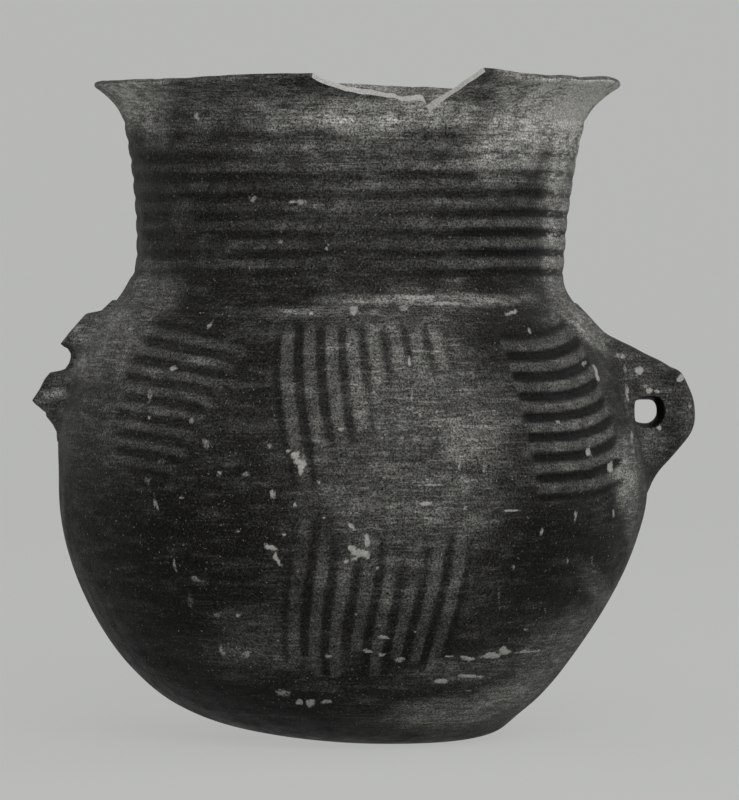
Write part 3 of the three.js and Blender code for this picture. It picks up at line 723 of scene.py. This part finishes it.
class Pattern:
    """A value of a node tree that is added to and multiplied by others as a number is."""

    def __init__(self, tree, socket):
        self.tree = tree
        self.socket = socket

    def joined(self, operation, other):
        node = self.tree.nodes.new("ShaderNodeMath")
        node.operation = operation
        self.tree.links.new(self.socket, node.inputs[0])
        if isinstance(other, Pattern):
            self.tree.links.new(other.socket, node.inputs[1])
        else:
            node.inputs[1].default_value = other
        return Pattern(self.tree, node.outputs[0])

    def __add__(self, other):
        return self.joined("ADD", other)

    def __mul__(self, other):
        return self.joined("MULTIPLY", other)

    __rmul__ = __mul__

    def __rsub__(self, number):
        return self * -1 + number

    def or_more(self, other):
        """The larger of two values."""
        return self.joined("MAXIMUM", other)

    def mapped(self, low, high, to_low=0, to_high=1, curve="SMOOTHSTEP"):
        """The value's rise from one limit to another, carried to two other limits."""
        node = self.tree.nodes.new("ShaderNodeMapRange")
        node.interpolation_type = curve
        self.tree.links.new(self.socket, node.inputs["Value"])
        limits = {"From Min": low, "From Max": high, "To Min": to_low, "To Max": to_high}
        for title, number in limits.items():
            node.inputs[title].default_value = number
        return Pattern(self.tree, node.outputs["Result"])


def clay_material(slot):
    """Smoke-black burnished clay: furrows and the lower left carry painted shade, ridges and edges are
    rubbed lighter, and painted highlights lie on the rim and the right side.
    """
    name = {"dark_body": "burnished_black_clay", "worn_edge": "worn_black_clay_with_painted_light"}[slot]
    if name in bpy.data.materials:
        return bpy.data.materials[name]
    f = bpy.context.scene.jar_finish
    material = bpy.data.materials.new(name)
    material.use_nodes = True
    tree = material.node_tree
    shader = tree.nodes["Principled BSDF"]
    place = tree.nodes.new("ShaderNodeTexCoord").outputs["Object"]

    def cloud(scale, detail, rough=0.55, flat=1):
        """Noise that follows the object's coordinates, drawn out level where `flat` is above 1."""
        drawn = tree.nodes.new("ShaderNodeMapping")
        drawn.inputs["Scale"].default_value = (1, 1, flat)
        tree.links.new(place, drawn.inputs["Vector"])
        node = tree.nodes.new("ShaderNodeTexNoise")
        node.inputs["Scale"].default_value = scale
        node.inputs["Detail"].default_value = detail
        node.inputs["Roughness"].default_value = rough
        tree.links.new(drawn.outputs["Vector"], node.inputs["Vector"])
        return Pattern(tree, node.outputs["Fac"])

    def mark(title):
        """One of the values that a piece's mesh holds for each point."""
        node = tree.nodes.new("ShaderNodeAttribute")
        node.attribute_name = title
        return Pattern(tree, node.outputs["Fac"])

    def blended(share, first, second):
        """Two colours mixed by the share of the second, each a socket or three numbers."""
        node = tree.nodes.new("ShaderNodeMix")
        node.data_type = "RGBA"
        tree.links.new(share.socket, node.inputs["Factor"])
        for title, value in (("A", first), ("B", second)):
            socket = next(one for one in node.inputs if one.name == title and one.type == "RGBA")
            if hasattr(value, "is_linked"):
                tree.links.new(value, socket)
            else:
                socket.default_value = (*value, 1)
        return next(one for one in node.outputs if one.type == "RGBA")

    clouds = cloud(38, 5)
    blotches = cloud(170, 6, 0.68)
    streaks = cloud(70, 5, 0.6, 5)
    dashes = cloud(230, 3, 0.6, 7).mapped(0.34, 0.66, 0.55, 1.45)
    hairlines = cloud(85, 3, 0.5, 26).mapped(0.56, 0.68)
    dust = cloud(1500, 3, 0.8).mapped(0.52, 0.7)
    grain = cloud(1900, 3, 0.8)
    groove_shade, ridged, worn = mark("furrow"), mark("ridge"), mark("wear_and_painted_light")
    shade_and_dark, crusty, broken = mark("shade_and_dark_patches"), mark("crust"), mark("broken")

    # How light rubbing and painted highlights make the clay, less so under painted shade
    rubbed = ridged * clouds.mapped(0.3, 0.62, 0.4, 1) * blotches.mapped(0.3, 0.62, 0.4, 1.3)
    area = worn * blotches.mapped(0.34, 0.66, 0.6, 1.2) * streaks.mapped(0.35, 0.65, 0.75, 1.1) * dashes
    wiped = hairlines * (0.6 * worn + 0.09)
    faint = (streaks + 0.5 * blotches).mapped(0.72, 0.98, 0, 0.19) * dashes
    lightness = 0.28 * rubbed + area + wiped + faint + 0.19 * dust
    lightness = lightness * (1 - 0.92 * groove_shade) * (1 - 0.65 * shade_and_dark)

    # Colours of the black skin, darker under painted shade, the clay under it, the breaks and the crust
    dark = groove_shade.or_more(shade_and_dark).or_more(clouds.mapped(0.4, 0.65, 0, 0.6))
    tone = blended(dark, f.clay[:], f.furrow[:])
    tone = blended(lightness.mapped(0, 1, curve="LINEAR"), tone, f.worn[:])
    # Painted highlight: the strongest light patches, on the flare of the rim, the right edge of the neck
    # and beside the lugs, go over to the colour of bare clay
    pale_highlight = area.mapped(0.8, 2.4)
    bare = (broken + 0.5 * blotches).mapped(0.6, 0.9)
    tone = blended(pale_highlight.or_more(bare), tone, f.broken[:])
    limy = (1.2 * crusty + 2.4 * cloud(1100, 4, 0.7)).mapped(1.6, 2.2) * crusty.mapped(0.3, 1, 0.2, 0.95)
    sprinkled = cloud(1250, 2, 0.6).mapped(0.665, 0.73, 0, 0.45)
    limy = limy.or_more(sprinkled * (1 - 0.7 * groove_shade))
    tone = blended(limy, tone, f.crust[:])

    # Fine grain, weaker where the clay is bare or limy
    strength = bare.or_more(limy).or_more(0.35 * pale_highlight).mapped(0, 1, 1, 0.3)
    specks = tree.nodes.new("ShaderNodeVectorMath")
    specks.operation = "SCALE"
    tree.links.new(tone, specks.inputs[0])
    tree.links.new((strength * grain.mapped(0.34, 0.66, -0.85, 0.85) + 1).socket, specks.inputs["Scale"])
    tree.links.new(specks.outputs[0], shader.inputs["Base Color"])

    shine = (blotches + 0.3 * lightness).mapped(0.3, 0.9, f.roughness - 0.1, f.roughness + 0.3)
    tree.links.new((shine + 0.2 * limy).socket, shader.inputs["Roughness"])
    shader.inputs["Specular IOR Level"].default_value = f.gloss

    pits = tree.nodes.new("ShaderNodeTexVoronoi")
    pits.inputs["Scale"].default_value = 420
    tree.links.new(place, pits.inputs["Vector"])
    hollow = Pattern(tree, pits.outputs["Distance"]).mapped(0.05, 0.3, -0.4, 0)
    bump = tree.nodes.new("ShaderNodeBump")
    bump.inputs["Distance"].default_value = 0.35 * MM
    bump.inputs["Strength"].default_value = 0.6
    tree.links.new((0.35 * grain + 0.8 * blotches + 0.8 * limy + hollow).socket, bump.inputs["Height"])
    tree.links.new(bump.outputs["Normal"], shader.inputs["Normal"])
    return material


# Pieces

class JAR_OT_base(bpy.types.Operator):
    """Make the thick round base with the worn flat that the jar stands on"""
    bl_idname = "jar.base"
    bl_label = "Base"

    def execute(self, context):
        outer, marks = outer_rows(0, BASE_JOIN, 1 * MM)
        inner = inner_rows(inner_profile()[0, 1], BASE_JOIN)[::-1]
        rows = np.concatenate([outer, inner])
        finish_piece("base", rows, with_inside(marks, rows, len(inner)), "dark_body", closed=False)
        return {"FINISHED"}


class JAR_OT_body(bpy.types.Operator):
    """Make the lower wall, the belly wall and the shoulder, with their fluted panels"""
    bl_idname = "jar.body"
    bl_label = "Body"

    def execute(self, context):
        wall_piece("lower_wall", BASE_JOIN, BELLY_JOIN)
        wall_piece("belly_wall", BELLY_JOIN, SHOULDER_JOIN)
        wall_piece("shoulder", SHOULDER_JOIN, NECK_JOIN)
        return {"FINISHED"}


class JAR_OT_neck(bpy.types.Operator):
    """Make the neck with its level ribs"""
    bl_idname = "jar.neck"
    bl_label = "Neck"

    def execute(self, context):
        wall_piece("neck", NECK_JOIN, top_groove())
        return {"FINISHED"}


# Lower edge of the bite out of the rim: millimetres to the right of the middle, and height
BITE = [
    (-12.4, 185.6), (-8.6, 181.9), (-0.8, 179.2), (7.5, 177.9), (14, 177.1), (19.1, 176.9), (21, 174.9),
    (23.2, 176.6), (26.6, 178.8), (31.5, 182), (36.9, 186.1), (37.3, 187.5),
]

# How much higher the inner edge of the break lies than the outer one: to the right of the middle, and rise
BREAK_SLANT = np.array([
    (-12, 0.1), (-8, 0.3), (-2, 0.5), (10, 0.55), (16, 0.65), (20, 0.9), (24, 0.2), (30, -0.5), (36, -0.6),
])

# Rows of the lip that count as wall at either side, and the most that the rest of the lip is made lighter
# by rubbing and painted highlight
LIP_TURN = 4
LIP_WEAR = 0.5


def lip_rows(last_outer, first_inner):
    """Rows of the lip between the two walls: half a circle, drawn as a cubic curve.

    Its handles are four thirds of the half circle's radius long.
    """
    w = bpy.context.scene.jar_wall
    along = np.array([w.lip_lean, w.lip_lean, 1]) * w.lip_thickness * 2 / 3 / math.hypot(1, w.lip_lean)
    handle = np.stack([np.sin(TURNS), -np.cos(TURNS), np.ones_like(TURNS)], axis=-1) * along
    share = np.linspace(0, 1, 17)[1:-1, None, None]
    return ((1 - share) ** 3 * last_outer + 3 * share * (1 - share) ** 2 * (last_outer + handle)
            + 3 * share ** 2 * (1 - share) * (first_inner + handle) + share ** 3 * first_inner)


class JAR_OT_rim(bpy.types.Operator):
    """Make the flared rim with the bite broken out of its front"""
    bl_idname = "jar.rim"
    bl_label = "Rim"

    def execute(self, context):
        w = context.scene.jar_wall
        held_back = w.lip_thickness / 2 / math.hypot(1, w.lip_lean)
        outer, marks = outer_rows(top_groove(), w.lip_height - held_back, 0.45 * MM)
        inner = inner_rows(top_groove(), inner_profile()[-1, 1] - held_back, 0.8 * MM)[::-1]
        lip = lip_rows(outer[-1], inner[0])
        outer = np.concatenate([outer, lip[:LIP_TURN]])
        inner = np.concatenate([lip[-LIP_TURN:], inner])
        outer, lip, inner, broken = bitten(outer, lip[LIP_TURN:-LIP_TURN], inner)
        rows = np.concatenate([outer, lip, inner])
        for title, mark in marks.items():
            marks[title] = np.concatenate([mark, np.repeat(mark[-1:], LIP_TURN, axis=0)])
        values = with_inside(marks, rows, len(lip) + len(inner))
        values["wear_and_painted_light"][:-len(inner)] = wear_and_painted_light_patches(rows[:-len(inner)])
        on_lip = values["wear_and_painted_light"][len(outer):-len(inner)]
        on_lip[:] = np.minimum(on_lip, LIP_WEAR)
        edge = 0.5 * fade(rows[..., 2] - 183 * MM, 3 * MM)
        values.update(ridge=np.maximum(values["ridge"], edge), crust=crust(rows), broken=broken)
        finish_piece("rim", rows, values, "worn_edge")
        return {"FINISHED"}


def bitten(outer, lip, inner):
    """Press the rows of the rim down to the lower edge of the bite, and roughen the break.

    In each column the rows keep their order: the outer and inner rows are squeezed below the edge,
    and the rows of the lip are spread across the broken face.
    """
    bite = smooth_line(BITE, 20) * MM
    at_front = outer[-1, :, 1] < 0
    x = outer[-1, :, 0]
    # The lower the edge, the nearer to the jar's axis it lies: four rounds settle where
    for _ in range(4):
        edge = np.interp(x, bite[:, 0], bite[:, 1], left=bite[0, 1], right=bite[-1, 1])
        x = radius_at(outer_profile(), edge) * np.sin(TURNS) + drift(edge)
    edge = np.interp(x, bite[:, 0], bite[:, 1], left=1, right=1)
    jagged = 0.3 * MM * noise(np.stack([x, 0 * x, 0 * x], axis=-1), 0.0022, 51)
    edge = np.where(at_front, edge + jagged, 1)
    top = outer[-1, :, 2]
    cut = edge < top
    low = outer[0, :, 2]
    shrink = np.where(cut, (edge - low) / (top - low), 1)

    def squeezed(rows, shrink):
        count = len(rows)
        along = np.linspace(0, 1, count)[:, None] * shrink[None, :] * (count - 1)
        lower = np.clip(np.floor(along).astype(int), 0, count - 2)
        part = (along - lower)[..., None]
        column = np.arange(rows.shape[1])[None, :]
        return rows[lower, column] * (1 - part) + rows[lower + 1, column] * part

    new_outer = squeezed(outer, shrink)
    inner_up = inner[::-1]
    slant = np.interp(x, BREAK_SLANT[:, 0] * MM, BREAK_SLANT[:, 1] * MM)
    inner_edge = edge + slant + 0.25 * MM * noise(np.stack([x, 0 * x + 1, 0 * x], axis=-1), 0.004, 52)
    inner_low = inner_up[0, :, 2]
    kept = np.clip((inner_edge - inner_low) / (inner_up[-1, :, 2] - inner_low), 0, 1)
    inner_shrink = np.where(cut, kept, 1)
    new_inner = squeezed(inner_up, inner_shrink)[::-1]
    share = np.linspace(0, 1, len(lip) + 2)[1:-1, None, None]
    face = new_outer[-1] * (1 - share) + new_inner[0] * share
    face[..., 2] += 0.35 * MM * noise(face, 0.0016, 53)
    new_lip = np.where(cut[None, :, None], face, lip)
    broken = np.concatenate([np.zeros(new_outer.shape[:2]), np.repeat(cut[None, :] * 1.0, len(lip), axis=0),
                             np.zeros(new_inner.shape[:2])])
    broken[len(outer) - 1] = 0.5 * cut
    broken[len(outer) + len(lip)] = 0.5 * cut
    return new_outer, new_lip, new_inner, broken


# Outline of the whole lug from its top at the wall, over the tip, to its foot, in millimetres
RIGHT_LUG = [
    (62.6, 122.9), (66.9, 118.4), (70.7, 114.4), (74.4, 112.3), (78.6, 110.3), (82.1, 108.4), (86.1, 106.5),
    (89.2, 104.7), (92.3, 103), (94.6, 98.8), (95.9, 95.2), (96.3, 91.7), (96.1, 88.6), (94.9, 85.5),
    (92.3, 82.1), (89.2, 78.5), (86.4, 75.4), (84.4, 72.3), (83, 69.2), (81.2, 66),
]


def lug_half_thickness(x, z):
    """Half the thickness of a lug, which runs out on to the wall in an arc tangent to both.

    Seen from above, the arc's middle lies `fillet` outside the lug's side and outside the wall.
    """
    lug = bpy.context.scene.jar_lugs
    wall = radius_at(outer_profile(), z) - MEAN_DENT * bpy.context.scene.jar_wall.dent
    out = np.abs(x - drift(z))
    share = np.clip((out - wall) / lug.reach, 0, 1)
    side = (lug.root_thickness + (lug.edge_thickness - lug.root_thickness) * share) / 2
    arc_middle = np.sqrt((wall + lug.fillet) ** 2 - (side + lug.fillet) ** 2)
    meets_wall = arc_middle * wall / (wall + lug.fillet)
    into_arc = arc_middle - np.clip(out, meets_wall, arc_middle)
    return side + lug.fillet - np.sqrt(lug.fillet ** 2 - into_arc ** 2)


def reach_of_lug(around):
    """How far the whole lug reaches from its hole in each direction, its root set into the wall."""
    lug = bpy.context.scene.jar_lugs
    edge = smooth_line(RIGHT_LUG, 12) * MM
    height = np.linspace(edge[-1, 1], edge[0, 1], 40)
    root = np.stack([radius_at(outer_profile(), height) + drift(height) - lug.root_depth, height], axis=-1)
    ray = np.concatenate([edge, root[1:-1]]) - np.array([lug.bore_distance, lug.bore_height])
    bearing = np.arctan2(ray[:, 1], ray[:, 0]) % (2 * math.pi)
    order = np.argsort(bearing)
    return np.interp(around, bearing[order], np.hypot(ray[:, 0], ray[:, 1])[order], period=2 * math.pi)


def front_of_lug(count_in_hole):
    """Rings of the whole lug's front half: out of the middle of its hole, then over its face to its edge.

    A ring is a closed curve round the hole, a share of the lug's half thickness in front of its middle.
    """
    lug = bpy.context.scene.jar_lugs
    around = np.linspace(0, 2 * math.pi, 360, endpoint=False)
    # The hole is round at its lower right and squarer towards its upper left
    power = 2 + 0.9 * (1 - np.cos(around - 1.75 * math.pi))
    square = (np.abs(np.cos(around)) ** power + np.abs(np.sin(around)) ** power) ** (-1 / power)
    mouth = lug.mouth_radius * square
    reach = reach_of_lug(around)
    end_x = lug.bore_distance + reach * np.cos(around)
    end_z = lug.bore_height + reach * np.sin(around)
    sunk = fade(radius_at(outer_profile(), end_z) + drift(end_z) - end_x, 3 * MM)

    def ring(radius, shift, depth_share):
        x = lug.bore_distance + shift + radius * np.cos(around)
        z = lug.bore_height + radius * np.sin(around)
        return np.stack([x, -depth_share * lug_half_thickness(x, z), z], axis=-1)

    rings = []
    for share in np.linspace(0, 1, count_in_hole, endpoint=False):
        radius = (lug.bore_radius + (lug.mouth_radius - lug.bore_radius) * share ** 2) * square
        rings.append(ring(radius, lug.bore_skew * share ** 2, 0.985 * share))
    for share in np.linspace(0, 1, 40):
        rounded = np.sqrt(1 - share ** (4.8 + 25 * sunk))
        eased = 1 - 0.03 * math.exp(-((share / 0.08) ** 2))
        radius = mouth + (reach - mouth) * share
        rings.append(ring(radius, lug.bore_skew * (1 - share) ** 2, rounded * eased))
    return np.array(rings)


class JAR_OT_right_lug(bpy.types.Operator):
    """Make the whole lug, pierced from front to back"""
    bl_idname = "jar.right_lug"
    bl_label = "Whole lug"

    def execute(self, context):
        hole = 12
        front = front_of_lug(hole)
        rows = np.concatenate([front, front[-2:0:-1] * np.array([1, -1, 1])])
        rows[..., 1] += 0.25 * MM * noise(rows, 0.008, 61)
        rows[..., 0] = np.minimum(rows[..., 0], RIGHT_TIP)
        in_hole = np.zeros(rows.shape[:2])
        in_hole[:hole] = 1
        in_hole[len(rows) - hole + 1:] = 1
        tip = fade(rows[..., 0] - 88 * MM, 8 * MM) * (1 - in_hole)
        # Painted shade: the inside of the hole is laid dark through the furrow mark and the mark of shaded
        # patches
        values = {
            "furrow": in_hole,
            "shade_and_dark_patches": np.maximum(in_hole, spots_of(rows, SHADE_AND_DARK_PATCHES, 1.6)),
            "ridge": 0.4 * tip,
            "crust": crust(rows) * (1 - in_hole),
            "wear_and_painted_light": np.maximum(0.12 * tip, wear_and_painted_light_patches(rows)) * (1 - in_hole),
        }
        finish_piece("right_lug", rows, values, "worn_edge")
        return {"FINISHED"}


# Outline of what is left of the broken lug, from its top at the wall down to its foot, in millimetres
LEFT_STUMP = [
    (-68, 123.4), (-71.1, 120.5), (-75.5, 119.6), (-77.7, 117.2), (-80.3, 114.2), (-82.7, 111.1),
    (-81.8, 110.3), (-80.7, 109.8), (-79.9, 108.4), (-79.9, 107.3), (-80.3, 105.7), (-81.4, 104.1),
    (-82.8, 103.5), (-85.7, 103), (-87.2, 101.2), (-88.6, 98.4), (-90.7, 95.2), (-89.6, 93.9),
    (-86.9, 91.9), (-86.7, 90.9), (-84.6, 88.4), (-83.6, 86.4), (-83.3, 83.8),
]


class JAR_OT_left_lug_stump(bpy.types.Operator):
    """Make what is left of the broken lug"""
    bl_idname = "jar.left_lug_stump"
    bl_label = "Broken lug"

    def execute(self, context):
        outline = np.array(LEFT_STUMP)[::-1] * MM
        height = np.linspace(outline[0, 1], outline[-1, 1], 170)
        reach = np.interp(height, outline[:, 1], outline[:, 0])
        lug = context.scene.jar_lugs
        root = -(radius_at(outer_profile(), height) - drift(height) - lug.root_depth)
        reach = np.minimum(reach, root - 0.3 * MM)
        lap = np.linspace(0, 2 * math.pi, 120, endpoint=False)
        # A squared oval in each level, from the root in the wall out to the edge
        power = 0.35
        cosine = np.sign(np.cos(lap)) * np.abs(np.cos(lap)) ** power
        sine = np.sign(np.sin(lap)) * np.abs(np.sin(lap)) ** power
        centre = (root + reach) / 2
        half = (root - reach) / 2
        x = centre[:, None] + half[:, None] * cosine[None, :]
        z = np.repeat(height[:, None], len(lap), axis=1)
        y = -lug_half_thickness(x, z) * sine[None, :]
        hole = np.hypot(x + lug.bore_distance, z - (lug.bore_height + lug.left_rise))
        room = 1 * MM + np.clip(hole - lug.bore_radius, 0, 1) * 4
        y = np.sign(y) * np.minimum(np.abs(y), room)
        rows = np.stack([x, y, z], axis=-1)
        rows += 0.22 * MM * noise(rows, 0.0025, 81)[..., None] * np.array([0.6, 1, 0.4])
        rows[..., 0] = np.maximum(rows[..., 0], LEFT_TIP)
        snapped = fade(-cosine - 0.86, 0.1)[None, :] * fade(112 * MM - z, 1 * MM)
        values = {
            "broken": 0.3 * snapped,
            "ridge": np.full_like(z, 0.2),
            "crust": crust(rows),
            "wear_and_painted_light": np.maximum(0.12, wear_and_painted_light_patches(rows)),
        }
        finish_piece("left_lug_stump", rows, values, "worn_edge", closed=False)
        return {"FINISHED"}


def seen_plain(tree):
    """1 for the rays by which the camera sees a thing straight, in a reflection or through glass."""
    rays = tree.nodes.new("ShaderNodeLightPath").outputs
    seen = Pattern(tree, rays["Is Camera Ray"])
    for title in ("Is Glossy Ray", "Is Transmission Ray"):
        seen = seen.or_more(Pattern(tree, rays[title]))
    return seen


def mix_shaders(tree, share, first, second, output):
    """Mix two shaders by the share of the second, and link them to the node tree's output."""
    mix = tree.nodes.new("ShaderNodeMixShader")
    tree.links.new(share.socket, mix.inputs["Fac"])
    tree.links.new(first.outputs[0], mix.inputs[1])
    tree.links.new(second.outputs[0], mix.inputs[2])
    tree.links.new(mix.outputs[0], tree.nodes[output].inputs["Surface"])


class JAR_OT_stage(bpy.types.Operator):
    """Set the plain floor and backdrop, the soft lamps and the camera"""
    bl_idname = "jar.stage"
    bl_label = "Stage"

    def execute(self, context):
        s = context.scene.jar_stage
        scene = context.scene
        scene.view_settings.view_transform = "Standard"
        camera = bpy.data.objects.new("camera", bpy.data.cameras.new("camera"))
        scene.collection.objects.link(camera)
        camera.data.sensor_fit = "VERTICAL"
        camera.data.sensor_height = 36
        camera.data.lens = camera.data.sensor_height * s.distance / s.picture_height
        camera.data.clip_end = 50
        camera.location = (s.aim_side, -s.distance, s.camera_height)
        aim = Vector((s.aim_side, 0, s.aim_height))
        camera.rotation_euler = (aim - camera.location).to_track_quat("-Z", "Y").to_euler()
        scene.camera = camera
        self.lamp("key", (0.3, -1.7, 1.05), 1.1, s.key_power)
        self.lamp("fill", (-1.4, -1.1, 0.5), 1.4, s.fill_power)
        self.lamp("edge", (1.5, 0.5, 0.7), 1, s.edge_power)
        scene.world = self.even_light(s.sky, s.backdrop[:])
        self.backdrop(s.backdrop[:])
        return {"FINISHED"}

    def even_light(self, strength, tone):
        """White light from all sides, which the camera sees as the backdrop's plain colour."""
        world = bpy.data.worlds.new("even_light")
        world.use_nodes = True
        tree = world.node_tree
        light = tree.nodes["Background"]
        light.inputs["Color"].default_value = (1, 1, 1, 1)
        light.inputs["Strength"].default_value = strength
        plain = tree.nodes.new("ShaderNodeBackground")
        plain.inputs["Color"].default_value = (*tone, 1)
        plain.inputs["Strength"].default_value = FAR_SHARE
        mix_shaders(tree, seen_plain(tree), light, plain, "World Output")
        return world

    def lamp(self, name, place, size, power):
        data = bpy.data.lights.new(name, "AREA")
        data.size = size
        data.energy = power
        lamp = bpy.data.objects.new(name, data)
        bpy.context.scene.collection.objects.link(lamp)
        lamp.location = place
        aim = Vector((0, 0, 90 * MM))
        lamp.rotation_euler = (aim - lamp.location).to_track_quat("-Z", "Y").to_euler()

    def backdrop(self, tone):
        """A floor that curves up into a wall behind the jar: straight, a quarter circle, straight."""
        bend, back, half_width, front, top = 1.2, 2.6, 5, -3, 4
        arc = np.linspace(0, math.pi / 2, 24)
        y = np.concatenate([[front], back - bend + bend * np.sin(arc), [back]])
        z = np.concatenate([[0], bend - bend * np.cos(arc), [top]])
        count = len(y)
        points = np.concatenate([np.stack([np.full(count, side * half_width), y, z], axis=-1)
                                 for side in (-1, 1)])
        index = np.arange(count - 1)
        faces = np.stack([index, index + count, index + count + 1, index + 1], axis=-1)
        mesh = bpy.data.meshes.new("backdrop")
        mesh.from_pydata(points.tolist(), [], faces.tolist())
        mesh.polygons.foreach_set("use_smooth", np.ones(len(faces), dtype=bool))
        sheet = bpy.data.objects.new("backdrop", mesh)
        bpy.context.scene.collection.objects.link(sheet)
        mesh.materials.append(self.paper(tone))

    def paper(self, tone):
        """Pale paper: most of what the camera sees of it is its plain colour, the rest its lit surface."""
        material = bpy.data.materials.new("pale_paper")
        material.use_nodes = True
        tree = material.node_tree
        shader = tree.nodes["Principled BSDF"]
        shader.inputs["Base Color"].default_value = (*tone, 1)
        shader.inputs["Roughness"].default_value = 0.9
        shader.inputs["Specular IOR Level"].default_value = 0
        glow = tree.nodes.new("ShaderNodeEmission")
        glow.inputs["Color"].default_value = (*tone, 1)
        mix_shaders(tree, PLAIN_SHARE * seen_plain(tree), shader, glow, "Material Output")
        return material


class JAR_PT_panel(bpy.types.Panel):
    """Buttons for the pieces of the jar, and their sizes"""
    bl_idname = "JAR_PT_panel"
    bl_label = "Lugged jar"
    bl_space_type = "VIEW_3D"
    bl_region_type = "UI"
    bl_category = "Jar"

    def draw(self, context):
        column = self.layout.column(align=True)
        for operator in STEPS:
            column.operator(operator.bl_idname)
        for title, _ in GROUPS:
            group = getattr(context.scene, title)
            box = self.layout.box()
            for field in group.__annotations__:
                box.prop(group, field)


GROUPS = [("jar_wall", JarWall), ("jar_relief", JarRelief), ("jar_lugs", JarLugs),
          ("jar_finish", JarFinish), ("jar_stage", JarStage)]
STEPS = [JAR_OT_base, JAR_OT_body, JAR_OT_neck, JAR_OT_rim, JAR_OT_right_lug, JAR_OT_left_lug_stump,
         JAR_OT_stage]


def register():
    for title, group in GROUPS:
        bpy.utils.register_class(group)
        setattr(bpy.types.Scene, title, bpy.props.PointerProperty(type=group))
    for one in [*STEPS, JAR_PT_panel]:
        bpy.utils.register_class(one)


def unregister():
    for one in [JAR_PT_panel, *reversed(STEPS)]:
        bpy.utils.unregister_class(one)
    for title, group in reversed(GROUPS):
        delattr(bpy.types.Scene, title)
        bpy.utils.unregister_class(group)


def main():
    register()
    bpy.ops.jar.base()
    bpy.ops.jar.body()
    bpy.ops.jar.neck()
    bpy.ops.jar.rim()
    bpy.ops.jar.right_lug()
    bpy.ops.jar.left_lug_stump()
    bpy.ops.jar.stage()


if __name__ == "__main__":
    main()
